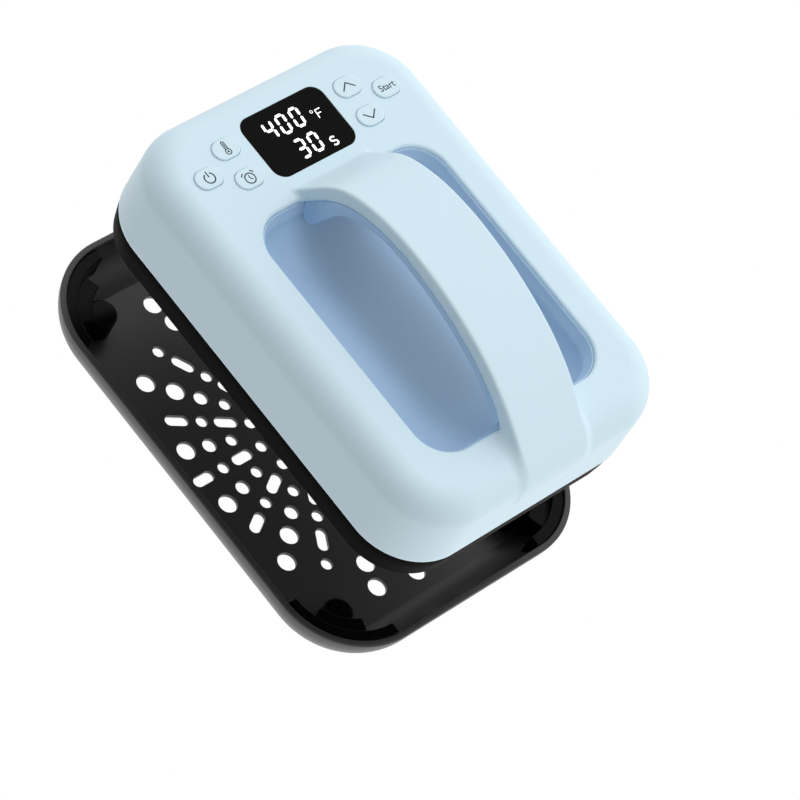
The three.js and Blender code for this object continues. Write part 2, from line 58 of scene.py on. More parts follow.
WELL_CY, WELL_B = (WELL_Y0 + WELL_Y1) / 2, (WELL_Y1 - WELL_Y0) / 2
DISP_A, DISP_B, DISP_R, DISP_Y = 36.5, 24.65, 9.5, 116.3
KEY_A, KEY_B, KEY_TOP = 10.75, 7.45, TOP_Z + 1.1
KEYS = {"temperature": (-55.2, 128.3), "power": (-80.7, 115.7), "timer": (-55.2, 103.2),
        "up": (55.2, 128.3), "start": (80.7, 115.7), "down": (55.2, 103.2)}
BOSS_X, BOSS_Y = 95.4, 142.4
HANDLE_TOP = [[84, 207.5], [78, 216.3], [72, 225], [66, 233.6], [60, 241], [55, 245.2], [50, 248.2],
              [45, 250.8], [40, 253], [30, 256.5], [20, 258.9], [10, 260.5], [0, 261.4], [-10, 261.8],
              [-20, 261.6], [-30, 261.1], [-40, 260.1], [-50, 258.7], [-60, 256.9], [-70, 254.7], [-80, 252],
              [-90, 248.9], [-100, 245.1], [-108, 241.4], [-118, 236.2], [-128, 230], [-138, 222.8],
              [-148, 215.1], [-156, 208.4], [-160.5, 200], [-162, 192], [-163.5, 180], [-165, 160]]
HANDLE_HALF = [[84, 34], [74, 31.5], [60, 30.2], [44, 30], [-118, 30], [-133, 29.7], [-148, 29.3], [-161, 28.4]]
SEAM = [[84, 200], [78, 203], [72, 208.5], [66, 217.5], [59, 227], [50, 235.8], [40, 242.2], [30, 246],
        [20, 248.8], [10, 250.8], [0, 251.9], [-10, 252.4], [-20, 252], [-30, 251.2], [-40, 250.1],
        [-50, 248.8], [-60, 247.1], [-70, 244.6], [-80, 241.7], [-90, 238.2], [-100, 234], [-110, 229],
        [-120, 222.5], [-130, 212], [-150, 204], [-161, 190]]
LOW = [[73.5, 201], [71.5, 196.5], [69, 193], [65.5, 191.6], [61.5, 193.6], [58.5, 198], [55, 206.5],
       [49, 220.5], [43.5, 228.6], [36, 234], [28, 238.5], [20, 241.8], [9, 244.6], [-10, 245.8], [-30, 244.8],
       [-50, 242.2], [-66, 238.9], [-82, 234.2], [-90, 231], [-99, 227], [-112, 220], [-124, 211.5]]


# ------------------------------------------------------------------ shape tools
def rrect(a, b, r, n=24, cx=0.0, cy=0.0):
    """rounded rectangle, counter-clockwise from the bottom right corner, 4 (n + 1) points"""
    r = max(min(r, a, b), 0.01)
    out = []
    for sx, sy, a0 in ((1, -1, -90), (1, 1, 0), (-1, 1, 90), (-1, -1, 180)):
        for i in range(n + 1):
            t = math.radians(a0 + 90 * i / n)
            out.append((cx + sx * (a - r) + r * math.cos(t), cy + sy * (b - r) + r * math.sin(t)))
    return np.array(out)


def circle(r, n=40, cx=0.0, cy=0.0, t0=0.0):
    t = t0 + np.arange(n) * 2 * math.pi / n
    return np.c_[cx + r * np.cos(t), cy + r * np.sin(t)]


def pill(a, b, n=16, cx=0.0, cy=0.0, ang=0.0):
    out = []
    for sx, a0 in ((1, -90), (-1, 90)):
        for i in range(n + 1):
            t = math.radians(a0 + 180 * i / n)
            out.append((sx * (a - b) + b * math.cos(t), b * math.sin(t)))
    p = np.array(out)
    c, s = math.cos(ang), math.sin(ang)
    return np.c_[cx + p[:, 0] * c - p[:, 1] * s, cy + p[:, 0] * s + p[:, 1] * c]


def at_z(p, z):
    return np.c_[p, np.full(len(p), z)]


class Mesh:
    """collects rings, caps and flat plates, with exact normals where they are known"""

    def __init__(self):
        self.v, self.f, self.fixed = [], [], {}
        self.n = 0

    def verts(self, p):
        p = np.asarray(p, float).reshape(-1, 3)
        i = np.arange(self.n, self.n + len(p))
        self.v.append(p)
        self.n += len(p)
        return i

    def bridge(self, i, j, closed=True, flip=False):
        m = len(i)
        for k in range(m if closed else m - 1):
            k2 = (k + 1) % m
            q = (int(i[k]), int(i[k2]), int(j[k2]), int(j[k]))
            self.f.append(q[::-1] if flip else q)

    def cap(self, i, flip=False):
        q = tuple(int(k) for k in i)
        self.f.append(q[::-1] if flip else q)

    def fix(self, i, normal):
        for k in i:
            self.fixed[int(k)] = normal

    def loft(self, rings, cap0=False, cap1=False, flip=False, wrap=False):
        """rings: arrays of equal length; returns the index arrays. wrap joins the last ring to the first."""
        ids = [self.verts(r) for r in rings]
        for a, b in zip(ids, ids[1:] + ids[:1] if wrap else ids[1:]):
            self.bridge(a, b, flip=flip)
        if cap0:
            self.cap(ids[0], flip=not flip)
        if cap1:
            self.cap(ids[-1], flip=flip)
        return ids

    def build(self, name, mat, smooth=True):
        v = np.concatenate(self.v)
        me = bpy.data.meshes.new(name)
        me.from_pydata((v * MM).tolist(), [], self.f)
        me.materials.append(mat)
        me.validate()
        me.update()
        o = bpy.data.objects.new(name, me)
        bpy.context.scene.collection.objects.link(o)
        if smooth:
            me.polygons.foreach_set("use_smooth", np.ones(len(me.polygons), bool))
            if self.fixed:
                nrm = np.zeros(len(me.vertices) * 3)
                me.vertices.foreach_get("normal", nrm)
                nrm = nrm.reshape(-1, 3)
                for k, d in self.fixed.items():
                    nrm[k] = d
                me.normals_split_custom_set_from_vertices(nrm.tolist())
        me.update()
        return o


def plate(mesh, outer_i, outer, holes, z, up=True):
    """flat region between an outer outline and holes. holes: list of 2D arrays. Returns the index arrays of the holes."""
    pts, edges, start = [], [], 0
    for loop in [outer] + holes:
        n = len(loop)
        pts += [Vector((float(p[0]), float(p[1]))) for p in loop]
        edges += [(start + k, start + (k + 1) % n) for k in range(n)]
        start += n
    vo, _, tri, orig, _, _ = delaunay_2d_cdt(pts, edges, [], 1, 1e-5)
    to = {}
    for k, o in enumerate(orig):
        for q in o:
            to[q] = k
    hole_i = []
    ids = -np.ones(len(vo), int)
    start = len(outer)
    for k in range(len(outer)):
        ids[to[k]] = outer_i[k]
    for h in holes:
        hi = mesh.verts(at_z(h, z))
        for k in range(len(h)):
            ids[to[start + k]] = hi[k]
        hole_i.append(hi)
        start += len(h)
    c = np.array([[sum(vo[k][0] for k in t) / 3, sum(vo[k][1] for k in t) / 3] for t in tri])
    keep = inside(c, outer)
    for h in holes:
        keep &= ~inside(c, h)
    for t, ok in zip(tri, keep):
        if ok and min(ids[list(t)]) >= 0:
            a, b, d = (vo[k] for k in t)
            area = (b[0] - a[0]) * (d[1] - a[1]) - (b[1] - a[1]) * (d[0] - a[0])
            q = [int(ids[k]) for k in t]
            mesh.f.append(tuple(q if (area > 0) == up else q[::-1]))
    nz = (0, 0, 1.0 if up else -1.0)
    mesh.fix(outer_i, nz)
    for hi in hole_i:
        mesh.fix(hi, nz)
    return hole_i


def inside(c, loop):
    x, y = c[:, 0], c[:, 1]
    r = np.zeros(len(c), bool)
    x0, y0 = loop[-1]
    for x1, y1 in loop:
        m = (y0 > y) != (y1 > y)
        with np.errstate(divide="ignore", invalid="ignore"):
            r ^= m & (x < (x1 - x0) * (y - y0) / (y1 - y0 + 1e-300) + x0)
        x0, y0 = x1, y1
    return r


# ------------------------------------------------------------------ distance fields
def d_rrect(x, y, a, b, r):
    qx, qy = np.abs(x) - (a - r), np.abs(y) - (b - r)
    return np.hypot(np.maximum(qx, 0), np.maximum(qy, 0)) + np.minimum(np.maximum(qx, qy), 0) - r


def both(a, b, r):
    """intersection with the edge rounded to radius r"""
    return np.minimum(np.maximum(a, b), -r) + np.hypot(np.maximum(a + r, 0), np.maximum(b + r, 0))


def either(a, b, r):
    """union with a fillet of radius r"""
    return np.maximum(np.minimum(a, b), r) - np.hypot(np.maximum(r - a, 0), np.maximum(r - b, 0))


def smooth_step(x, a, b):
    t = np.clip((x - a) / (b - a), 0, 1)
    return t * t * (3 - 2 * t)


class Curve:
    """smooth curve through the points of a table, with its slope"""

    def __init__(self, table, blur=2.2):
        t = np.array(sorted(table), float)
        self.x = np.arange(t[0, 0] - 20, t[-1, 0] + 20, 0.25)
        y = np.interp(self.x, t[:, 0], t[:, 1])
        s0 = (t[1, 1] - t[0, 1]) / (t[1, 0] - t[0, 0])
        s1 = (t[-1, 1] - t[-2, 1]) / (t[-1, 0] - t[-2, 0])
        lo, hi = self.x < t[0, 0], self.x > t[-1, 0]
        y[lo] = t[0, 1] + s0 * (self.x[lo] - t[0, 0])
        y[hi] = t[-1, 1] + s1 * (self.x[hi] - t[-1, 0])
        k = np.exp(-0.5 * (np.arange(-40, 41) * 0.25 / blur) ** 2)
        k /= k.sum()
        pad = np.r_[np.full(40, y[0]), y, np.full(40, y[-1])]
        self.y = np.convolve(pad, k, "valid")
        self.s = np.gradient(self.y, self.x)

    def __call__(self, x):
        return np.interp(x, self.x, self.y)

    def slope(self, x):
        return np.interp(x, self.x, self.s)


def nets(f, lo, hi, h):
    """mesh of f = 0: one vertex to a cell, put on the surface and on its edges"""
    ax = [np.arange(lo[k], hi[k] + h, h) for k in range(3)]
    nx, ny, nz = (len(a) for a in ax)
    F = np.empty((nx, ny, nz), np.float32)
    for i in range(0, nx, 16):
        F[i:i + 16] = np.broadcast_to(f(ax[0][i:i + 16, None, None], ax[1][None, :, None], ax[2][None, None, :]),
                                      (len(ax[0][i:i + 16]), ny, nz))
    S = F < 0
    eps = 0.02

    def grad(p):
        g = np.empty_like(p)
        for k in range(3):
            d = np.zeros(3)
            d[k] = eps
            a, b = p + d, p - d
            g[:, k] = (f(a[:, 0], a[:, 1], a[:, 2]) - f(b[:, 0], b[:, 1], b[:, 2])) / (2 * eps)
        return g / np.maximum(np.linalg.norm(g, axis=1, keepdims=True), 1e-9)

    P, cells, quads = [], [], []
    for k in range(3):
        sl0 = [slice(None)] * 3
        sl1 = [slice(None)] * 3
        sl0[k], sl1[k] = slice(0, -1), slice(1, None)
        cross = S[tuple(sl0)] != S[tuple(sl1)]
        idx = np.argwhere(cross)
        i0 = tuple(idx.T)
        e = np.zeros(3, int)
        e[k] = 1
        i1 = tuple((idx + e).T)
        f0, f1 = F[i0].astype(float), F[i1].astype(float)
        p0 = np.stack([ax[m][idx[:, m]] for m in range(3)], 1)
        t = f0 / (f0 - f1)
        a, b = np.zeros(len(t)), np.ones(len(t))
        for _ in range(5):
            p = p0.copy()
            p[:, k] += t * h
            v = f(p[:, 0], p[:, 1], p[:, 2])
            neg = (v < 0) == (f0 < 0)
            a, b = np.where(neg, t, a), np.where(neg, b, t)
            f0n = np.where(neg, v, f0)
            f1n = np.where(neg, f1, v)
            t = a + (b - a) * np.clip(f0n / np.where(np.abs(f0n - f1n) < 1e-9, 1e-9, f0n - f1n), 0.02, 0.98)
            f0, f1 = f0n, f1n
        p = p0.copy()
        p[:, k] += t * h
        P.append(p)
        u, w = (k + 1) % 3, (k + 2) % 3
        four = []
        for du, dw in ((0, 0), (-1, 0), (-1, -1), (0, -1)):
            c = idx.copy()
            c[:, u] += du
            c[:, w] += dw
            four.append(c)
        ok = (idx[:, u] > 0) & (idx[:, w] > 0) & (idx[:, u] < (nx, ny, nz)[u] - 1) & (idx[:, w] < (nx, ny, nz)[w] - 1)
        flat = [c[:, 0] * ny * nz + c[:, 1] * nz + c[:, 2] for c in four]
        cells.append(np.stack(flat, 1))
        q = np.stack(flat, 1)
        turn = S[i0]
        q = np.where(turn[:, None], q, q[:, ::-1])
        quads.append(q[ok])
    P = np.concatenate(P)
    N = grad(P)
    C = np.concatenate(cells)
    uniq, inv = np.unique(C.ravel(), return_inverse=True)
    inv = inv.reshape(C.shape)
    m = len(uniq)
    cnt = np.bincount(inv.ravel(), minlength=m).astype(float)
    mass = np.stack([np.bincount(inv.ravel(), np.repeat(P[:, k], 4), m) for k in range(3)], 1) / cnt[:, None]
    A = np.zeros((m, 3, 3))
    for i in range(3):
        for j in range(3):
            A[:, i, j] = np.bincount(inv.ravel(), np.repeat(N[:, i] * N[:, j], 4), m)
    rhs_c = np.repeat((N * P).sum(1), 4)
    Nr = np.repeat(N, 4, 0)
    b = np.stack([np.bincount(inv.ravel(), Nr[:, k] * rhs_c, m) for k in range(3)], 1)
    b -= np.einsum("nij,nj->ni", A, mass)
    A += np.eye(3) * (0.06 * cnt[:, None, None])
    d = np.linalg.solve(A, b[..., None])[..., 0]
    V = mass + np.clip(d, -0.6 * h, 0.6 * h)
    for _ in range(2):
        g = grad(V)
        V = V - g * np.clip(f(V[:, 0], V[:, 1], V[:, 2]), -h, h)[:, None]
    Nv = grad(V)
    Q = np.concatenate(quads)
    look = {}
    Q = np.searchsorted(uniq, Q)
    return V, Q, Nv


def mesh_object(name, V, F, N, mat):
    me = bpy.data.meshes.new(name)
    me.from_pydata((np.asarray(V) * MM).tolist(), [], [tuple(int(k) for k in q) for q in F])
    me.materials.append(mat)
    me.update()
    me.polygons.foreach_set("use_smooth", np.ones(len(me.polygons), bool))
    me.normals_split_custom_set_from_vertices(np.asarray(N).tolist())
    o = bpy.data.objects.new(name, me)
    bpy.context.scene.collection.objects.link(o)
    return o


# ------------------------------------------------------------------ materials
def nodes_of(name):
    m = bpy.data.materials.new(name)
    m.use_nodes = True
    nt = m.node_tree
    return m, nt, nt.nodes["Principled BSDF"]


def moulded(name, color, color2, rough, rough_span=0.06, grain=900.0, bump=0.05, coat=0.0, spec=0.5, blotch=9.0):
    """moulded plastic: fine spark-eroded grain, and a slow drift of colour and gloss"""
    m, nt, bsdf = nodes_of(name)
    N, L = nt.nodes, nt.links
    co = N.new("ShaderNodeTexCoord")
    slow = N.new("ShaderNodeTexNoise")
    slow.inputs["Scale"].default_value = blotch
    slow.inputs["Detail"].default_value = 3.0
    L.new(co.outputs["Object"], slow.inputs["Vector"])
    mix = N.new("ShaderNodeMix")
    mix.data_type = "RGBA"
    mix.inputs["A"].default_value = (*color, 1)
    mix.inputs["B"].default_value = (*color2, 1)
    L.new(slow.outputs["Fac"], mix.inputs["Factor"])
    L.new(mix.outputs["Result"], bsdf.inputs["Base Color"])
    fine = N.new("ShaderNodeTexNoise")
    fine.inputs["Scale"].default_value = grain
    fine.inputs["Detail"].default_value = 2.0
    L.new(co.outputs["Object"], fine.inputs["Vector"])
    rr = N.new("ShaderNodeMapRange")
    rr.inputs["To Min"].default_value = rough - rough_span
    rr.inputs["To Max"].default_value = rough + rough_span
    L.new(fine.outputs["Fac"], rr.inputs["Value"])
    L.new(rr.outputs["Result"], bsdf.inputs["Roughness"])
    if bump:
        bp = N.new("ShaderNodeBump")
        bp.inputs["Strength"].default_value = bump
        bp.inputs["Distance"].default_value = 0.0002
        L.new(fine.outputs["Fac"], bp.inputs["Height"])
        L.new(bp.outputs["Normal"], bsdf.inputs["Normal"])
    bsdf.inputs["Specular IOR Level"].default_value = spec
    if coat:
        bsdf.inputs["Coat Weight"].default_value = coat
        bsdf.inputs["Coat Roughness"].default_value = 0.05
    return m


def metal(name, color, rough, grain=220.0, stretch=(1, 1, 1), metallic=1.0, bump=0.06):
    m, nt, bsdf = nodes_of(name)
    N, L = nt.nodes, nt.links
    co = N.new("ShaderNodeTexCoord")
    mp = N.new("ShaderNodeMapping")
    mp.inputs["Scale"].default_value = stretch
    L.new(co.outputs["Object"], mp.inputs["Vector"])
    no = N.new("ShaderNodeTexNoise")
    no.inputs["Scale"].default_value = grain
    no.inputs["Detail"].default_value = 4.0
    L.new(mp.outputs["Vector"], no.inputs["Vector"])
    rr = N.new("ShaderNodeMapRange")
    rr.inputs["To Min"].default_value = rough * 0.75
    rr.inputs["To Max"].default_value = rough * 1.3
    L.new(no.outputs["Fac"], rr.inputs["Value"])
    L.new(rr.outputs["Result"], bsdf.inputs["Roughness"])
    mix = N.new("ShaderNodeMix")
    mix.data_type = "RGBA"
    mix.inputs["A"].default_value = (*[c * 0.88 for c in color], 1)
    mix.inputs["B"].default_value = (*color, 1)
    L.new(no.outputs["Fac"], mix.inputs["Factor"])
    L.new(mix.outputs["Result"], bsdf.inputs["Base Color"])
    bsdf.inputs["Metallic"].default_value = metallic
    bp = N.new("ShaderNodeBump")
    bp.inputs["Strength"].default_value = bump
    bp.inputs["Distance"].default_value = 0.0002
    L.new(no.outputs["Fac"], bp.inputs["Height"])
    L.new(bp.outputs["Normal"], bsdf.inputs["Normal"])
    return m


PALE = moulded("pale_shell", (0.650, 0.822, 0.912), (0.662, 0.832, 0.920), 0.50, grain=1400.0, bump=0.03, spec=0.35)
KEYM = moulded("key_caps", (0.655, 0.826, 0.915), (0.665, 0.835, 0.922), 0.42, grain=1800.0, bump=0.02, spec=0.4)
BLUE = moulded("blue_liner", (0.490, 0.665, 0.850), (0.502, 0.677, 0.862), 0.50, grain=1200.0, bump=0.04, spec=0.4)


def paint_recess_shade(m, cy, half_x, half_y, shade_color):
    """painted shade: the colour turns to the given darker shade colour towards the long axis of an oblong hollow about
    (0, cy), standing in for the shade inside the hollow
    """
    N, L = m.node_tree.nodes, m.node_tree.links
    bsdf = N["Principled BSDF"]
    mp = N.new("ShaderNodeMapping")
    mp.vector_type = "POINT"
    mp.inputs["Scale"].default_value = (1 / (half_x * MM), 1 / (half_y * MM), 0.0)
    mp.inputs["Location"].default_value = (0.0, -cy / half_y, 0.0)
    L.new(N["Texture Coordinate"].outputs["Object"], mp.inputs["Vector"])
    sq = N.new("ShaderNodeVectorMath")
    sq.operation = "MULTIPLY"
    L.new(mp.outputs["Vector"], sq.inputs[0])
    L.new(mp.outputs["Vector"], sq.inputs[1])
    ln = N.new("ShaderNodeVectorMath")
    ln.operation = "LENGTH"
    L.new(sq.outputs["Vector"], ln.inputs[0])
    mr = N.new("ShaderNodeMapRange")
    mr.interpolation_type = "SMOOTHSTEP"
    L.new(ln.outputs["Value"], mr.inputs["Value"])
    mx = N.new("ShaderNodeMix")
    mx.data_type = "RGBA"
    L.new(mr.outputs["Result"], mx.inputs["Factor"])
    mx.inputs["A"].default_value = (*shade_color, 1)
    L.new(bsdf.inputs["Base Color"].links[0].from_socket, mx.inputs["B"])
    L.new(mx.outputs["Result"], bsdf.inputs["Base Color"])
    return m


# painted shade: the liner is drawn greyer and darker along the middle of the recess beneath the handle, and keeps its
# own blue towards the rim
BLUE = paint_recess_shade(BLUE, 20.0, 42.0, 190.0, (0.335, 0.445, 0.560))
BLUE_GRIP = moulded("blue_grip", (0.430, 0.615, 0.840), (0.442, 0.628, 0.852), 0.48, grain=1200.0, bump=0.04, spec=0.35)
SKIRTM = moulded("black_skirt", (0.0028, 0.0028, 0.0029), (0.0035, 0.0035, 0.0036), 0.55, grain=900.0, bump=0.08, spec=0.02)
TRAYM = moulded("tray_black", (0.0200, 0.0200, 0.0202), (0.0230, 0.0230, 0.0233), 0.42, rough_span=0.08, grain=1100.0, bump=0.22, spec=0.55)
GLOSSM = moulded("support_gloss", (0.0012, 0.0012, 0.0013), (0.0016, 0.0016, 0.0017), 0.24, rough_span=0.03, grain=300.0, bump=0.01, spec=0.07)
DISPM = moulded("display_glass", (0.0040, 0.0038, 0.0038), (0.0046, 0.0044, 0.0044), 0.18, rough_span=0.02, grain=300.0, bump=0.0, spec=0.03)
RUBBERM = moulded("foot_rubber", (0.012, 0.012, 0.012), (0.016, 0.016, 0.016), 0.85, grain=700.0, bump=0.3, spec=0.3)
INK = moulded("key_ink", (0.030, 0.048, 0.058), (0.034, 0.053, 0.064), 0.6, grain=900.0, bump=0.0, spec=0.2)
STEELM = metal("screw_steel", (0.62, 0.63, 0.64), 0.30, grain=500.0)
SHEETM = metal("sheet_steel", (0.66, 0.67, 0.68), 0.32, grain=120.0, stretch=(1, 14, 1))
ALUM = metal("heatsink_aluminium", (0.78, 0.79, 0.80), 0.34, grain=150.0, stretch=(1, 1, 10))
BRASSM = metal("brass", (0.74, 0.52, 0.21), 0.25, grain=300.0)
PCBM = moulded("circuit_board", (0.015, 0.130, 0.050), (0.020, 0.160, 0.062), 0.35, grain=220.0, bump=0.05, blotch=60.0, coat=0.3)
CHIPM = moulded("component_dark", (0.018, 0.018, 0.020), (0.025, 0.025, 0.027), 0.5, grain=500.0, bump=0.1)
WHITEM = moulded("component_white", (0.78, 0.78, 0.75), (0.82, 0.82, 0.79), 0.4, grain=500.0, bump=0.03)
MICAM = moulded("mica_heater", (0.30, 0.21, 0.09), (0.44, 0.33, 0.15), 0.45, grain=260.0, bump=0.2, blotch=45.0)
PADM = moulded("glass_fibre_mat", (0.70, 0.67, 0.58), (0.82, 0.79, 0.70), 0.95, rough_span=0.04, grain=420.0, bump=0.9, blotch=30.0)


def coated_plate():
    """dark non-stick coating with a fine fleck"""
    m = moulded("plate_coating", (0.050, 0.050, 0.053), (0.060, 0.060, 0.063), 0.36, rough_span=0.08, grain=600.0, bump=0.15)
    nt = m.node_tree
    N, L = nt.nodes, nt.links
    bsdf = N["Principled BSDF"]
    co = N["Texture Coordinate"]
    fl = N.new("ShaderNodeTexVoronoi")
    fl.inputs["Scale"].default_value = 900.0
    L.new(co.outputs["Object"], fl.inputs["Vector"])
    rm = N.new("ShaderNodeMapRange")
    rm.inputs["From Min"].default_value = 0.10
    rm.inputs["From Max"].default_value = 0.16
    rm.inputs["To Min"].default_value = 0.30
    rm.inputs["To Max"].default_value = 0.0
    L.new(fl.outputs["Distance"], rm.inputs["Value"])
    mx = N.new("ShaderNodeMix")
    mx.data_type = "RGBA"
    L.new(rm.outputs["Result"], mx.inputs["Factor"])
    old = bsdf.inputs["Base Color"].links[0].from_socket
    L.new(old, mx.inputs["A"])
    mx.inputs["B"].default_value = (0.22, 0.22, 0.23, 1)
    L.new(mx.outputs["Result"], bsdf.inputs["Base Color"])
    return m


PLATEM = coated_plate()


def lit():
    """white lit segments behind the window"""
    m, nt, bsdf = nodes_of("display_segments")
    N, L = nt.nodes, nt.links
    co = N.new("ShaderNodeTexCoord")
    no = N.new("ShaderNodeTexNoise")
    no.inputs["Scale"].default_value = 600.0
    L.new(co.outputs["Object"], no.inputs["Vector"])
    rr = N.new("ShaderNodeMapRange")
    rr.inputs["To Min"].default_value = 0.80
    rr.inputs["To Max"].default_value = 0.92
    L.new(no.outputs["Fac"], rr.inputs["Value"])
    L.new(rr.outputs["Result"], bsdf.inputs["Emission Strength"])
    bsdf.inputs["Emission Color"].default_value = (1, 1, 1, 1)
    bsdf.inputs["Base Color"].default_value = (0.8, 0.8, 0.8, 1)
    bsdf.inputs["Roughness"].default_value = 0.4
    return m


LITM = lit()

SLOT_MATERIAL = {"tray_black": TRAYM, "support_gloss": GLOSSM, "foot_rubber": RUBBERM, "screw_steel": STEELM,
                 "shell_pale": PALE, "key_pale": KEYM, "liner_blue": BLUE, "display_black": DISPM, "circuit_board": PCBM,
                 "component_dark": CHIPM, "skirt_black": SKIRTM, "plate_coated": PLATEM, "heatsink_alu": ALUM,
                 "mica_heater": MICAM, "insulation": PADM, "sheet_steel": SHEETM, "brass_part": BRASSM,
                 "component_white": WHITEM}
for part in frame["record"]["subparts"]:
    me = frame["nodes"][part["node"]].data
    me.materials.clear()
    me.materials.append(SLOT_MATERIAL[part["material_slot"]])


def stands_for(o, body, slot, *nodes):
    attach(o, body)
    if nodes:
        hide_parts(*nodes)
    return o


# ------------------------------------------------------------------ pale housing with the handle's upper half
top_c, half_c, seam_c = Curve(HANDLE_TOP, 3.0), Curve(HANDLE_HALF, 6.0), Curve(SEAM, 2.5)


def arch(x, y, z):
    top = (z - top_c(y) - 0.2 * (1 - (x / 30.0) ** 2)) / np.sqrt(1 + top_c.slope(y) ** 2)
    bot = (seam_c(y) - z) / np.sqrt(1 + seam_c.slope(y) ** 2)
    side = np.abs(x) - half_c(y)
    d = both(side, top, 2.0)
    return both(d, bot, 0.5)


def housing(x, y, z):
    d2 = d_rrect(x, y, SHELL_A, SHELL_B, SHELL_R) + DRAFT * np.clip((z - SHELL_Z0) / 42.0, 0, 1)
    d = both(d2, z - TOP_Z, FILLET)
    d = both(d, SHELL_Z0 - z, 0.8)
    well = d_rrect(x, y - WELL_CY, WELL_A, WELL_B, WELL_R)
    d = both(d, -well, 2.2)
    r = 3.0 + 5.0 * smooth_step(-y, 60.0, 118.0)
    return either(d, arch(x, y, z), r)


V, Q, Nv = nets(housing, (-120.4, -167.2, 144.8), (120.4, 167.2, 268.0), 1.6)

# the flat panel with the keys and the display gets exact openings
flat_v = (np.abs(V[:, 2] - TOP_Z) < 2e-3) & (V[:, 1] > 89.5) & (d_rrect(V[:, 0], V[:, 1], 95.6, 142.7, 25.5) < 0)
flat_q = flat_v[Q].all(1)
m = Mesh()
m.verts(V)
m.f = [tuple(int(k) for k in q) for q in Q[~flat_q]]
for k, nrm in enumerate(Nv):
    m.fixed[k] = tuple(nrm)
edges = {}
for q in Q[flat_q]:
    for a, b in zip(q, np.roll(q, -1)):
        edges[(int(a), int(b))] = 1
nxt = {a: b for a, b in edges if (b, a) not in edges}
loops = []
left = dict(nxt)
while left:
    a = next(iter(left))
    loop = [a]
    while left.get(loop[-1]) is not None:
        b = left.pop(loop[-1])
        if b == loop[0]:
            break
        loop.append(b)
    loops.append(loop)
border = max(loops, key=len)


def opening(mesh, outline_at, idx, lip, wide, depth):
    """rounded lip of an opening, a wall below it, and a closed pocket under the panel; outline_at(off) is the outline grown by off"""
    prev = idx
    for k in range(1, 5):
        t = k / 4 * math.pi / 2
        ring = mesh.verts(at_z(outline_at(lip * (1 - math.sin(t))), TOP_Z - lip * (1 - math.cos(t))))
        mesh.bridge(prev, ring)
        prev = ring
    for off, z in ((0.0, TOP_Z - 2.6), (wide, TOP_Z - 2.6), (wide, TOP_Z - depth)):
        ring = mesh.verts(at_z(outline_at(off), z))
        mesh.bridge(prev, ring)
        prev = ring
    mesh.cap(prev)
    mesh.fix(prev, (0, 0, 1))


outs = [(lambda off: rrect(DISP_A + 0.25 + off, DISP_B + 0.25 + off, DISP_R + 0.25 + off, 16, 0, DISP_Y), 0.3, 0.4, 3.6)]
for kx, ky in KEYS.values():
    outs.append((lambda off, kx=kx, ky=ky: pill(KEY_A + 0.28 + off, KEY_B + 0.28 + off, 22, kx, ky), 0.22, 1.5, 8.0))
hole_ids = plate(m, np.array(border), V[border][:, :2], [o[0](o[1]) for o in outs], TOP_Z)
for (outline, lip, wide, depth), hi in zip(outs, hole_ids):
    opening(m, outline, hi, lip, wide, depth)
stands_for(m.build("upper_housing", PALE), "press", "shell_pale", "top_housing")

# ------------------------------------------------------------------ blue lower half of the handle
low_c = Curve(LOW, 0.9)


def outline_low():
    ys = np.arange(-123.0, 73.2, 0.7)
    top = np.c_[ys, seam_c(ys) - 0.6]
    low = np.c_[ys[::-1], low_c(ys[::-1])]
    keep = top[:, 1] > np.interp(top[:, 0], ys, low_c(ys)) + 0.3
    return np.r_[top[keep], low[keep[::-1]]]


OUT = outline_low()


def d_poly(y, z, P):
    shape = np.broadcast(y, z).shape
    y, z = np.broadcast_to(y, shape).ravel(), np.broadcast_to(z, shape).ravel()
    A, B = P, np.roll(P, -1, 0)
    out = np.empty(len(y))
    for i in range(0, len(y), 20000):
        py, pz = y[i:i + 20000, None], z[i:i + 20000, None]
        e = B - A
        wy, wz = py - A[:, 0], pz - A[:, 1]
        t = np.clip((wy * e[:, 0] + wz * e[:, 1]) / (e[:, 0] ** 2 + e[:, 1] ** 2 + 1e-12), 0, 1)
        dy, dz = wy - e[:, 0] * t, wz - e[:, 1] * t
        d = np.sqrt((dy * dy + dz * dz).min(1))
        c1, c2 = pz >= A[:, 1], pz < B[:, 1]
        c3 = e[:, 0] * wz > e[:, 1] * wy
        s = np.where((c1 & c2 & c3) | (~c1 & ~c2 & ~c3), -1, 1).prod(1)
        out[i:i + 20000] = d * s
    return out.reshape(shape)


def under(x, y, z):
    inset = 0.35 + 1.9 * smooth_step(y, 56, 66)
    side = np.abs(x) - (half_c(y) - inset)
    p = d_poly(y, z, OUT)
    below = smooth_step(seam_c(y) - z, 0.6, 3.0)
    r = 0.4 + 1.3 * below
    return both(side, p, r)


V, Q, Nv = nets(under, (-33.4, -126.4, 187.8), (33.4, 75.0, 254.6), 1.3)
stands_for(mesh_object("handle_lower_half", V, Q, Nv, BLUE_GRIP), "press", "liner_blue", "handle_underside")

# ------------------------------------------------------------------ recess liner: one soft bowl
def bowl_profile():
    p = [(0.10, 205.4), (0.12, 206.8), (0.25, 207.2), (0.6, 207.4), (1.0, 207.0), (1.3, 206.2)]
    wall0, wall1 = np.array([1.6, 204.5]), np.array([4.0, 198.0])
    p += [tuple(wall0 + (wall1 - wall0) * t) for t in np.linspace(0, 1, 4)]
    c, r = (48.0, 198.0), (44.0, 34.3)
    for t in np.linspace(0, math.pi / 2, 26)[1:]:
        p.append((c[0] - r[0] * math.cos(t), c[1] - r[1] * math.sin(t)))
    return p


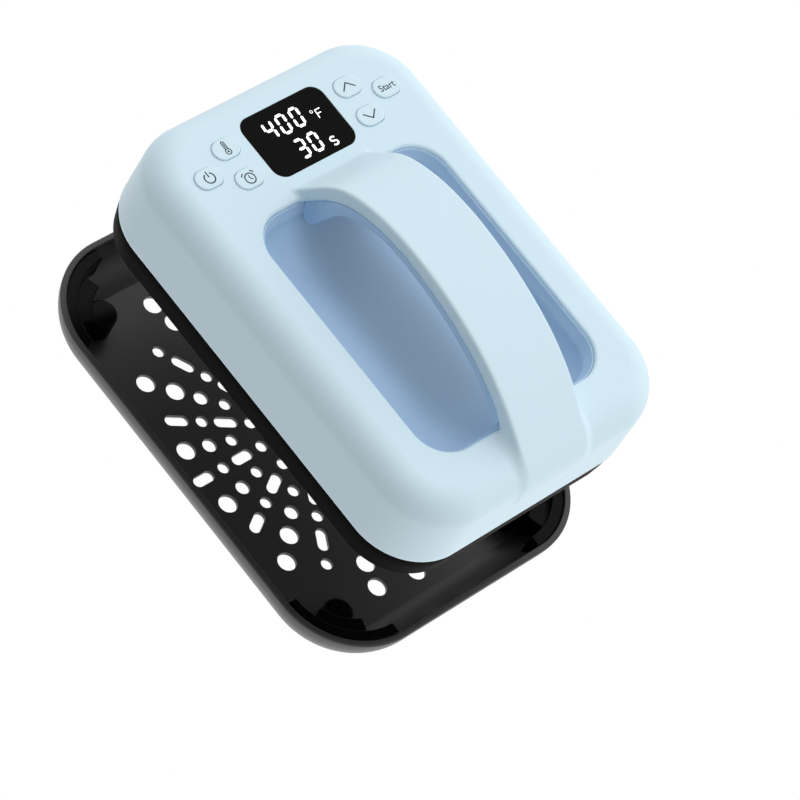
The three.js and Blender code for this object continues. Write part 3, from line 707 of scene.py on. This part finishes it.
m = Mesh()
rings = []
for off, z in bowl_profile():
    rings.append(at_z(rrect(WELL_A - off, WELL_B - off, max(WELL_R - off * 0.75, 6.0), 20, 0, WELL_CY), z))
ids = m.loft(rings)
inner = m.verts(at_z(rrect(WELL_A - 58, WELL_B - 58, 7.0, 20, 0, WELL_CY), 163.6))
m.bridge(ids[-1], inner)
mid = m.verts(at_z(rrect(8, WELL_B - 78, 4.0, 20, 0, WELL_CY), 163.55))
m.bridge(inner, mid)
m.cap(mid)
# outer skin, which closes it
prev = ids[0]
for off, z in ((1.6, 196.0), (4.6, 182.0), (11.5, 170.5), (22.0, 164.0), (36.0, 162.0)):
    ring = m.verts(at_z(rrect(WELL_A - off, WELL_B - off, max(WELL_R - off * 0.75, 6.0), 20, 0, WELL_CY), z))
    m.bridge(prev, ring, flip=True)
    prev = ring
m.cap(prev, flip=True)
stands_for(m.build("recess_liner", BLUE), "press", "liner_blue", "recess_tub")


# ------------------------------------------------------------------ skirt and hot plate
def ring_set(spec, n=28):
    return [at_z(rrect(a, b, r, n), z) for a, b, r, z in spec]


m = Mesh()
spec = []
A0, B0, R0 = SKIRT_A, SKIRT_B, SKIRT_R
pa, pb, pr = PLATE_A + 1.6, PLATE_B + 1.6, PLATE_R + 1.5
spec += [(pa, pb, pr, 128.0), (pa, pb, pr, SKIRT_Z0 + 0.8), (pa + 0.25, pb + 0.25, pr + 0.25, SKIRT_Z0 + 0.25), (pa + 0.8, pb + 0.8, pr + 0.8, SKIRT_Z0)]
for t in np.linspace(0, math.pi / 2, 7):
    k = 2.6 * (1 - math.sin(t))
    spec.append((A0 - k + 0.35, B0 - k + 0.35, R0 - k + 0.35, SKIRT_Z0 + 2.6 * (1 - math.cos(t))))
spec += [(A0 + 1.6, B0 + 1.6, R0 + 1.4, 136.0), (SHELL_A - 0.55, SHELL_B - 0.55, SHELL_R - 0.5, 145.3),
         (SHELL_A - 0.75, SHELL_B - 0.75, SHELL_R - 0.6, 145.9), (SHELL_A - 1.3, SHELL_B - 1.3, SHELL_R - 1.2, 146.1),
         (SHELL_A - 4.5, SHELL_B - 4.5, SHELL_R - 4.5, 146.1), (SHELL_A - 5.5, SHELL_B - 5.5, SHELL_R - 5.5, 130.0)]
m.loft(ring_set(spec), wrap=True)
stands_for(m.build("lower_skirt", SKIRTM), "press", "skirt_black", "base_skirt")

m = Mesh()
spec = [(PLATE_A, PLATE_B, PLATE_R, PLATE_Z1), (PLATE_A, PLATE_B, PLATE_R, PLATE_Z0 + 1.6)]
for t in np.linspace(0, math.pi / 2, 6)[1:]:
    k = 1.6 * (1 - math.cos(t))
    spec.append((PLATE_A - k, PLATE_B - k, PLATE_R - k, PLATE_Z0 + 1.6 - 1.6 * math.sin(t)))
spec += [(PLATE_A - 8, PLATE_B - 8, PLATE_R - 8, PLATE_Z0)]
m.loft(ring_set(spec), cap0=True, cap1=True, flip=True)
stands_for(m.build("hot_plate", PLATEM), "press", "plate_coated", "heat_plate")

# ------------------------------------------------------------------ keys and their symbols
def stroke(points, w, closed=False, n_round=8):
    """flat ribbon with round ends along a line, as polygons"""
    pts = np.array(points, float)
    polys = []
    segs = list(zip(pts[:-1], pts[1:])) + ([(pts[-1], pts[0])] if closed else [])
    for a, b in segs:
        d = b - a
        L = np.hypot(*d)
        if L < 1e-6:
            continue
        ang = math.atan2(d[1], d[0])
        polys.append(pill(L / 2 + w / 2, w / 2, n_round, (a[0] + b[0]) / 2, (a[1] + b[1]) / 2, ang))
    return polys


def arc(cx, cy, r, a0, a1, n=40):
    t = np.radians(np.linspace(a0, a1, n))
    return np.c_[cx + r * np.cos(t), cy + r * np.sin(t)]


def band(cx, cy, r, w, a0=0.0, a1=360.0, n=48):
    """ring or part of a ring as one ribbon: inner and outer edge"""
    t = np.radians(np.linspace(a0, a1, n))
    return (np.c_[cx + (r + w / 2) * np.cos(t), cy + (r + w / 2) * np.sin(t)],
            np.c_[cx + (r - w / 2) * np.cos(t), cy + (r - w / 2) * np.sin(t)])


def symbol(name, polys, bands, z, mat, body, slot, thick=0.04, dz=0.0):
    m = Mesh()
    for k, p in enumerate(polys):
        e = 0.0006 * (k % 7)
        i1 = m.verts(at_z(p, z + thick + e))
        i0 = m.verts(at_z(p, z - 0.1))
        m.cap(i1)
        m.bridge(i0, i1)
        m.cap(i0, flip=True)
        m.fix(i1, (0, 0, 1))
    for k, (o, i) in enumerate(bands):
        ring = np.allclose(o[0], o[-1])
        if ring:
            o, i = o[:-1], i[:-1]
        oi = m.verts(at_z(o, z + thick))
        ii = m.verts(at_z(i, z + thick))
        o0 = m.verts(at_z(o, z - 0.1))
        i0 = m.verts(at_z(i, z - 0.1))
        for a, b in ((oi, ii), (o0, oi), (ii, i0), (i0, o0)):
            m.bridge(a, b, closed=ring)
        if not ring:
            m.cap([o0[0], oi[0], ii[0], i0[0]])
            m.cap([o0[-1], oi[-1], ii[-1], i0[-1]], flip=True)
        m.fix(list(oi) + list(ii), (0, 0, 1))
    return stands_for(m.build(name, mat), body, slot)


def text_object(name, body_text, size, x, y, z, mat, body, slot, center=True, bold=0.0):
    cu = bpy.data.curves.new(name, "FONT")
    cu.body = body_text
    cu.size = size * MM
    cu.align_x = "CENTER" if center else "LEFT"
    cu.align_y = "CENTER"
    cu.extrude = 0.05 * MM
    cu.offset = bold * MM
    cu.resolution_u = 6
    o = bpy.data.objects.new(name, cu)
    bpy.context.scene.collection.objects.link(o)
    o.location = (x * MM, y * MM, z * MM)
    bpy.context.view_layer.update()
    dg = bpy.context.evaluated_depsgraph_get()
    me = bpy.data.meshes.new_from_object(o.evaluated_get(dg))
    me.transform(o.matrix_world)
    bm = bmesh.new()
    bm.from_mesh(me)
    bmesh.ops.remove_doubles(bm, verts=bm.verts, dist=1e-7)
    bm.to_mesh(me)
    bm.free()
    me.materials.clear()
    me.materials.append(mat)
    bpy.data.objects.remove(o)
    q = bpy.data.objects.new(name, me)
    bpy.context.scene.collection.objects.link(q)
    return stands_for(q, body, slot)


for key, (kx, ky) in KEYS.items():
    m = Mesh()
    rings = [at_z(pill(KEY_A + 1.3, KEY_B + 1.3, 20, kx, ky), 203.2), at_z(pill(KEY_A + 1.3, KEY_B + 1.3, 20, kx, ky), 205.1),
             at_z(pill(KEY_A, KEY_B, 20, kx, ky), 205.2)]
    R = 0.9
    for t in np.linspace(0, math.pi / 2, 7):
        k = R * (1 - math.cos(t))
        rings.append(at_z(pill(KEY_A - k, KEY_B - k, 20, kx, ky), KEY_TOP - R + R * math.sin(t)))
    for off, dz in ((2.2, -0.03), (4.0, -0.06)):
        rings.append(at_z(pill(KEY_A - off, KEY_B - off, 20, kx, ky), KEY_TOP + dz))
    m.loft(rings, cap0=True, cap1=True)
    stands_for(m.build("keycap_" + key, KEYM), "key_" + key, "key_pale", "button_" + key)

W = 0.95
zk = KEY_TOP - 0.05
tx, ty = -55.2, 128.6
symbol("symbol_temperature", stroke([(tx, ty + 4.2), (tx, ty + 0.2)], 0.7),
       [band(tx, ty - 3.0, 2.15, 0.75), band(tx, ty + 4.0, 1.2, 0.68, 0, 180, 16)],
       zk, INK, "key_temperature", "key_pale")
symbol("symbol_temperature_stem", stroke([(tx - 1.2, ty + 4.0), (tx - 1.2, ty - 1.3)], 0.68) + stroke([(tx + 1.2, ty + 4.0), (tx + 1.2, ty - 1.3)], 0.68)
       + [circle(0.85, 16, tx, ty - 3.0)], [], zk, INK, "key_temperature", "key_pale")
px, py = -80.4, 115.4
symbol("symbol_power", stroke([(px - 0.1, py + 4.9), (px - 0.1, py + 1.0)], W), [band(px, py - 0.1, 3.9, W, 118, 422)], zk, INK, "key_power", "key_pale")
cx, cy = -55.1, 102.5
symbol("symbol_timer", stroke([(cx, cy + 2.2), (cx, cy - 0.1), (cx + 1.45, cy - 1.2)], 0.75)
       + stroke([(cx - 3.3, cy + 4.95), (cx - 5.05, cy + 3.4)], 0.85) + stroke([(cx + 3.3, cy + 4.95), (cx + 5.05, cy + 3.4)], 0.85),
       [band(cx, cy, 3.85, 0.88)], zk, INK, "key_timer", "key_pale")
symbol("symbol_up", stroke([(50.1, 126.2), (55.3, 131.2), (60.5, 126.2)], W), [], zk, INK, "key_up", "key_pale")
symbol("symbol_down", stroke([(50.1, 105.3), (55.3, 100.3), (60.5, 105.3)], W), [], zk, INK, "key_down", "key_pale")
text_object("symbol_start", "Start", 7.0, 80.9, 115.5, KEY_TOP - 0.06, INK, "key_start", "key_pale", bold=0.05)

# ------------------------------------------------------------------ display
m = Mesh()
rings = [at_z(rrect(DISP_A, DISP_B, DISP_R, 16, 0, DISP_Y), TOP_Z - 3.0)]
for t in np.linspace(0, math.pi / 2, 5):
    k = 0.35 * (1 - math.cos(t))
    rings.append(at_z(rrect(DISP_A - k, DISP_B - k, DISP_R - k, 16, 0, DISP_Y), TOP_Z + 0.02 - 0.35 + 0.35 * math.sin(t)))
ids = m.loft(rings, cap0=True, cap1=True)
m.fix(ids[-1], (0, 0, 1))
stands_for(m.build("display_glass", DISPM), "press", "display_black", "display_window")

SEGS = {"0": "abcdef", "3": "abcdg", "4": "bcfg"}


def digit(ch, x0, y0, w, h, sw=2.1, lean=0.075, gap=0.36):
    """seven-segment digit with its lower left corner at (x0, y0)"""
    c = sw / 2
    L, R_, B, T, M_ = c, w - c, c, h - c, h / 2
    ends = {"a": ((L, T), (R_, T)), "g": ((L, M_), (R_, M_)), "d": ((L, B), (R_, B)),
            "f": ((L, M_), (L, T)), "e": ((L, B), (L, M_)), "b": ((R_, M_), (R_, T)), "c": ((R_, B), (R_, M_))}
    polys = []
    for sname in SEGS[ch]:
        (ax_, ay), (bx, by) = ends[sname]
        d = np.array([bx - ax_, by - ay])
        ln = np.hypot(*d)
        d = d / ln
        n = np.array([-d[1], d[0]])
        a = np.array([ax_, ay]) + d * gap
        b = np.array([bx, by]) - d * gap
        p = np.array([a, a + d * c - n * c, b - d * c - n * c, b, b - d * c + n * c, a + d * c + n * c])
        p[:, 0] += lean * p[:, 1]
        p[:, 0] += x0
        p[:, 1] += y0
        polys.append(p)
    return polys


zd = TOP_Z + 0.02
lit_polys = []
for ch, x0 in (("4", -22.4), ("0", -10.4), ("0", 1.7)):
    lit_polys += digit(ch, x0, 117.6, 8.6, 15.8)
for ch, x0 in (("3", -10.9), ("0", 0.8)):
    lit_polys += digit(ch, x0, 96.8, 8.6, 15.5)


def ribbon(points, w):
    """band of even width along a line, as its right and left edges"""
    p = np.array(points, float)
    t = np.gradient(p, axis=0)
    t /= np.hypot(t[:, 0], t[:, 1])[:, None]
    n = np.c_[t[:, 1], -t[:, 0]] * w / 2
    return p + n, p - n


sx, sy = 18.4, 99.2
upper, lower = np.radians(np.linspace(28, 270, 26)), np.radians(np.linspace(90, -152, 26))
curl = np.r_[np.c_[sx + 2.15 * np.cos(upper), sy + 1.55 + 1.55 * np.sin(upper)],
             np.c_[sx + 2.25 * np.cos(lower), sy - 1.6 + 1.6 * np.sin(lower)][1:]]
symbol("display_digits", lit_polys, [band(18.5, 124.2, 1.0, 0.42), ribbon(curl, 1.25)], zd, LITM, "press", "display_black", thick=0.03)
symbol("display_letter", stroke([(21.2, 118.0), (21.7, 124.2), (25.7, 124.2)], 0.8) + stroke([(21.4, 121.2), (24.7, 121.2)], 0.8),
       [], zd, LITM, "press", "display_black", thick=0.03)


# ------------------------------------------------------------------ tray
TN = 30


def wall_path(width, drop, last):
    """quarter ellipse of the wall, from its lower end up: (inset, z)"""
    return [(BOWL - width * math.cos(math.radians(d)), RIM_Z - drop * math.sin(math.radians(d))) for d in np.linspace(45, last, 16)]


def rounded(c, r, a0, a1, n=6):
    return [(c[0] + r * math.cos(math.radians(a)), c[1] + r * math.sin(math.radians(a))) for a in np.linspace(a0, a1, n)]


OUT_FLAT, IN_FLAT = 27.0, 27.5
section = [(OUT_FLAT + 0.9, FLOOR_Z0), (OUT_FLAT + 0.3, FLOOR_Z0 + 0.06), (OUT_FLAT - 0.4, FLOOR_Z0 + 0.45)]
section += wall_path(BOWL, RIM_Z - FLOOR_Z0, 2.0)
section += rounded((1.0, RIM_Z - 1.0), 1.0, 180, 90)
section += rounded((RIM_T - 0.7, RIM_Z - 0.7), 0.7, 90, 0)
section += wall_path(BOWL - RIM_T, RIM_Z - FLOOR_Z1, 2.0)[::-1]
FOOT_ARC = (44, 36, 28, 20, 12, 5, 0)
section += [(IN_FLAT + 0.79 - 1.9 * math.sin(math.radians(d)), FLOOR_Z1 + 1.9 - 1.9 * math.cos(math.radians(d))) for d in FOOT_ARC]
edge_ring = lambda inset: rrect(RIM_A - inset, RIM_B - inset, RIM_R - inset, TN)
m = Mesh()
ids = m.loft([at_z(edge_ring(i), z) for i, z in section])
# the wall runs softly into the floor: its normals turn over the whole slope
for d, ring in zip(FOOT_ARC, ids[-len(FOOT_ARC):]):
    tilt = math.radians(d * 0.45)
    for k, v in enumerate(ring):
        t = math.radians(-90 + 90 * (k // (TN + 1)) + 90 * (k % (TN + 1)) / TN)
        m.fixed[int(v)] = (-math.cos(t) * math.sin(tilt), -math.sin(t) * math.sin(tilt), math.cos(tilt))
holes = []


def hole(r, ring, deg):
    t = math.radians(deg)
    holes.append(lambda off, t=t, r=r, ring=ring: circle(r + off, 36, RING[ring] * math.cos(t), RING[ring] * math.sin(t)))


def slot(ring, deg):
    t = math.radians(deg)
    holes.append(lambda off, t=t, ring=ring: pill(8.6 + off, 4.1 + off, 14, RING[ring] * math.cos(t), RING[ring] * math.sin(t), t))


for k in range(24):
    deg = k * 15
    q = abs(90 - abs(360 - deg if deg > 180 else deg))
    a = 90 - q
    if a % 30 == 0:
        hole(4.3, 1, deg); slot(2, deg); hole(4.3, 3, deg); slot(4, deg)
        if a >= 60:
            hole(4.3, 5, deg)
        if a == 90:
            hole(6.9, 6, deg)
    else:
        hole(4.3, 2, deg); hole(5.2, 3, deg); hole(6.9, 4, deg)
        if a >= 45:
            hole(6.9, 7, deg)
        if a == 75:
            hole(6.9, 6, deg)
feet = [(sx * FOOT_X, sy * FOOT_Y) for sx in (-1, 1) for sy in (-1, 1)]
EDGE = 0.5
tops = plate(m, ids[-1], edge_ring(section[-1][0]), [h(EDGE) for h in holes], FLOOR_Z1)
bots = plate(m, ids[0], edge_ring(section[0][0]), [h(EDGE) for h in holes] + [circle(FOOT_R + 0.5, 40, fx, fy) for fx, fy in feet], FLOOR_Z0, up=False)
for h, ti, bi in zip(holes, tops, bots):
    prev = ti
    for k in range(1, 4):
        t = k / 3 * math.pi / 2
        r = m.verts(at_z(h(EDGE * (1 - math.sin(t))), FLOOR_Z1 - EDGE * (1 - math.cos(t))))
        m.bridge(prev, r)
        prev = r
    for k in range(3, 0, -1):
        t = k / 3 * math.pi / 2
        r = m.verts(at_z(h(EDGE * (1 - math.sin(t))), FLOOR_Z0 + EDGE * (1 - math.cos(t))))
        m.bridge(prev, r)
        prev = r
    m.bridge(prev, bi)
for (fx, fy), bi in zip(feet, bots[len(holes):]):
    up_ = m.verts(at_z(circle(FOOT_R + 0.5, 40, fx, fy), 2.5))
    m.bridge(up_, bi)
    m.cap(up_, flip=True)
    m.fix(up_, (0, 0, -1))
stands_for(m.build("tray_body", TRAYM), "tray", "tray_black", "base_tray")


# ------------------------------------------------------------------ corner supports
RIM_CX, RIM_CY = RIM_A - RIM_R, RIM_B - RIM_R


def support(x, y, z):
    rx, ry = x - RIM_CX, y - RIM_CY
    rho, th = np.hypot(rx, ry), np.degrees(np.arctan2(ry, rx)) - 45.0
    drop = np.clip((RIM_Z - z) / (RIM_Z - FLOOR_Z1), 0, 0.7071)
    inset = BOWL - (BOWL - RIM_T) * np.sqrt(1 - drop ** 2) + np.maximum(16.4 - z, 0) / 0.973
    steep = np.cos(np.arctan2((BOWL - RIM_T) * drop, (RIM_Z - FLOOR_Z1) * np.sqrt(1 - drop ** 2)))
    cav = (rho - (RIM_R - inset) + 0.45) * steep
    ang = lambda half: rho * np.sin(np.radians(np.clip(np.abs(th) - half, -89, 89)))
    guide = both(both(GUIDE_R - rho, ang(44.5), 0.8), z - GUIDE_Z, 0.7)
    tier = both(both(STEP_R - rho, ang(24.0), 2.0), z - STEP_Z, 0.7)
    tier = np.maximum(tier, rho - GUIDE_R - 1.5)
    post = both(np.hypot(x - POST_X, y - POST_Y) - POST_R, z - POST_Z + 0.006 * ((x - POST_X) ** 2 + (y - POST_Y) ** 2), 1.5)
    d = either(guide, tier, 0.5)
    d = either(d, post, 0.6)
    d = both(d, cav, 0.4)
    return np.maximum(d, FLOOR_Z1 + 0.25 - z)


V, Q, Nv = nets(support, (61.0, 106.0, 4.5), (127.8, 172.6, 42.5), 0.95)
for name, sx, sy in (("front_left", -1, -1), ("front_right", 1, -1), ("rear_right", 1, 1), ("rear_left", -1, 1)):
    s = np.array([sx, sy, 1.0])
    q = Q if sx * sy > 0 else Q[:, ::-1]
    stands_for(mesh_object("support_" + name, V * s, q, Nv * s, GLOSSM), "tray", "support_gloss", "corner_support_" + name)


# ------------------------------------------------------------------ feet, screws, cord inlet
def revolve(profile, n=40, cx=0.0, cy=0.0):
    """closed profile of (radius, z) turned about a vertical axis"""
    m = Mesh()
    rings = [at_z(circle(max(r, 0.0), n, cx, cy), z) for r, z in profile]
    m.loft(rings, wrap=True)
    return m, rings


for name, sx, sy in (("front_left", -1, -1), ("front_right", 1, -1), ("rear_right", 1, 1), ("rear_left", -1, 1)):
    fx, fy = sx * FOOT_X, sy * FOOT_Y
    prof = [(4.0, 2.2), (4.0, 0.3), (4.12, 0.1), (4.35, 0.0), (7.8, 0.0), (8.2, 0.12), (8.42, 0.4), (8.5, 0.8), (8.5, 2.0), (8.3, 2.2)]
    m, _ = revolve(prof, 44, fx, fy)
    stands_for(m.build("foot_" + name, RUBBERM), "tray", "foot_rubber", "rubber_foot_" + name)


def screw(name, body, node, x, y, z_face, r_head, h_head, r_shank, z_end, slot_name="screw_steel"):
    """pan-head screw that faces down, with a cross recess"""
    m = Mesh()
    n = 48
    t = np.arange(n) * 2 * math.pi / n
    cross = np.minimum(np.abs(np.cos(t)), np.abs(np.sin(t)))
    arm = np.where(cross < 0.24, r_head * 0.62, np.minimum(r_head * 0.24 / np.maximum(cross, 0.24) * 1.0, r_head * 0.34))
    arm_ring = lambda k: np.c_[x + arm * k * np.cos(t), y + arm * k * np.sin(t)]
    rings = [at_z(circle(r_shank, n, x, y), z_end), at_z(circle(r_shank, n, x, y), z_face + h_head),
             at_z(circle(r_head * 0.98, n, x, y), z_face + h_head), at_z(circle(r_head, n, x, y), z_face + h_head * 0.8),
             at_z(circle(r_head, n, x, y), z_face + h_head * 0.45), at_z(circle(r_head * 0.94, n, x, y), z_face + h_head * 0.16),
             at_z(circle(r_head * 0.8, n, x, y), z_face), at_z(arm_ring(1.0), z_face), at_z(arm_ring(0.8), z_face + h_head * 0.6)]
    m.loft(rings, cap0=True, cap1=True, flip=True)
    o = m.build(name, STEELM)
    return stands_for(o, body, slot_name, node)


for name, sx, sy in (("front_left", -1, -1), ("front_right", 1, -1), ("rear_right", 1, 1), ("rear_left", -1, 1)):
    screw("tray_screw_" + name, "tray", "support_screw_" + name, sx * FOOT_X, sy * FOOT_Y, 0.7, 3.15, 1.45, 1.5, 14.4)
    screw("skirt_screw_" + name, "press", "housing_screw_" + name, sx * BOSS_X, sy * BOSS_Y, SKIRT_Z0 + 0.2, 3.05, 1.4, 1.5, 140.9)

# cord inlet: flange and bore, turned about +Y
m = Mesh()
ix, iz = 62.0, 168.0
prof = [(4.3, 157.0), (4.3, 168.6), (4.5, 169.1), (4.95, 169.35), (9.9, 169.35), (10.6, 169.1), (10.95, 168.4), (11.0, 165.9), (10.8, 165.6), (8.0, 165.6), (8.0, 157.0)]
t = np.arange(48) * 2 * math.pi / 48
m.loft([np.c_[ix + r * np.cos(t), np.full(48, y), iz + r * np.sin(t)] for r, y in prof], wrap=True)
stands_for(m.build("cord_inlet_bush", SKIRTM), "press", "skirt_black", "cord_inlet")

# ------------------------------------------------------------------ stage, light and camera
def bright_floor():
    m, nt, bsdf = nodes_of("studio_floor")
    bsdf.inputs["Base Color"].default_value = (0.0, 0.0, 0.0, 1)
    bsdf.inputs["Roughness"].default_value = 1.0
    bsdf.inputs["Specular IOR Level"].default_value = 0.0
    bsdf.inputs["Emission Color"].default_value = (1, 1, 1, 1)
    bsdf.inputs["Emission Strength"].default_value = 1.0
    return m


WHITE = bright_floor()
S = 38.0
edge = at_z(circle(S / MM, 48), -0.5)
wall = at_z(circle(S / MM, 48), S / MM)
for name, rings in (("floor", [edge]), ("backdrop", [edge, wall])):
    m = Mesh()
    ids = m.loft(rings, cap0=name == "floor", flip=True)
    o = m.build(name, WHITE, smooth=False)
    o.visible_diffuse = o.visible_glossy = o.visible_shadow = False


def studio(lobes):
    """soft light all round: broad lobes of light, each given by its direction, power and strength"""
    w = bpy.data.worlds.new("studio")
    w.use_nodes = True
    nt = w.node_tree
    N, L = nt.nodes, nt.links
    co = N.new("ShaderNodeTexCoord")
    total = None
    for direction, power, strength in lobes:
        d = Vector(direction).normalized()
        dot = N.new("ShaderNodeVectorMath")
        dot.operation = "DOT_PRODUCT"
        L.new(co.outputs["Generated"], dot.inputs[0])
        dot.inputs[1].default_value = d
        front = N.new("ShaderNodeMath")
        front.operation = "MAXIMUM"
        L.new(dot.outputs["Value"], front.inputs[0])
        front.inputs[1].default_value = 0.0
        lobe = N.new("ShaderNodeMath")
        lobe.operation = "POWER"
        L.new(front.outputs[0], lobe.inputs[0])
        lobe.inputs[1].default_value = power
        add = N.new("ShaderNodeMath")
        add.operation = "MULTIPLY_ADD"
        L.new(lobe.outputs[0], add.inputs[0])
        add.inputs[1].default_value = strength
        if total is not None:
            L.new(total, add.inputs[2])
        else:
            add.inputs[2].default_value = 0.0
        total = add.outputs[0]
    bg = N["Background"]
    bg.inputs["Color"].default_value = (1, 1, 1, 1)
    L.new(total, bg.inputs["Strength"])
    bpy.context.scene.world = w


LOBES = [((1, 0, 0), 2, 0.662), ((0, 1, 0), 2, 0.667), ((0, -1, 0), 2, 0.564), ((0, 0, -1), 2, 1.541),
         ((1, 0, 1), 2, 0.597), ((0, 1, 1), 2, 0.318), ((-1, -1, 0), 2, 0.386), ((1, -1, 0), 2, 0.300),
         ((0, 0, 1), 8, 0.462), ((0, 1, 2), 8, 0.381), ((0, -1, 2), 8, 0.348), ((1, 1, 2), 8, 0.354)]
studio(LOBES)


def area(name, loc, target, size, power):
    li = bpy.data.lights.new(name, "AREA")
    li.energy = power
    li.shape = "SQUARE"
    li.size = size
    o = bpy.data.objects.new(name, li)
    o.location = loc
    d = Vector(target) - Vector(loc)
    o.rotation_euler = d.to_track_quat("-Z", "Y").to_euler()
    bpy.context.scene.collection.objects.link(o)
    return o


area("overhead", (0.25, -0.35, 1.9), (0, 0, 0.15), 1.6, 0.91)

cam_data = bpy.data.cameras.new("camera")
cam_data.sensor_width = 36.0
cam_data.lens = 200.8608693
cam_data.clip_start = 0.05
cam_data.clip_end = 60.0
cam = bpy.data.objects.new("camera", cam_data)
right = Vector((0.7040898731, -0.6132217937, 0.3580732918))
up = Vector((0.4058035874, 0.7612642482, 0.5057669353))
back = Vector((-0.5827357025, -0.2107979510, 0.7848460517))
rot = Matrix((right, up, back)).transposed()
cam.matrix_world = Matrix.Translation(Vector((-1.7238312809, -0.6728823433, 2.4337373705))) @ rot.to_4x4()
bpy.context.scene.collection.objects.link(cam)
bpy.context.scene.camera = cam
bpy.context.scene.view_settings.view_transform = "Standard"
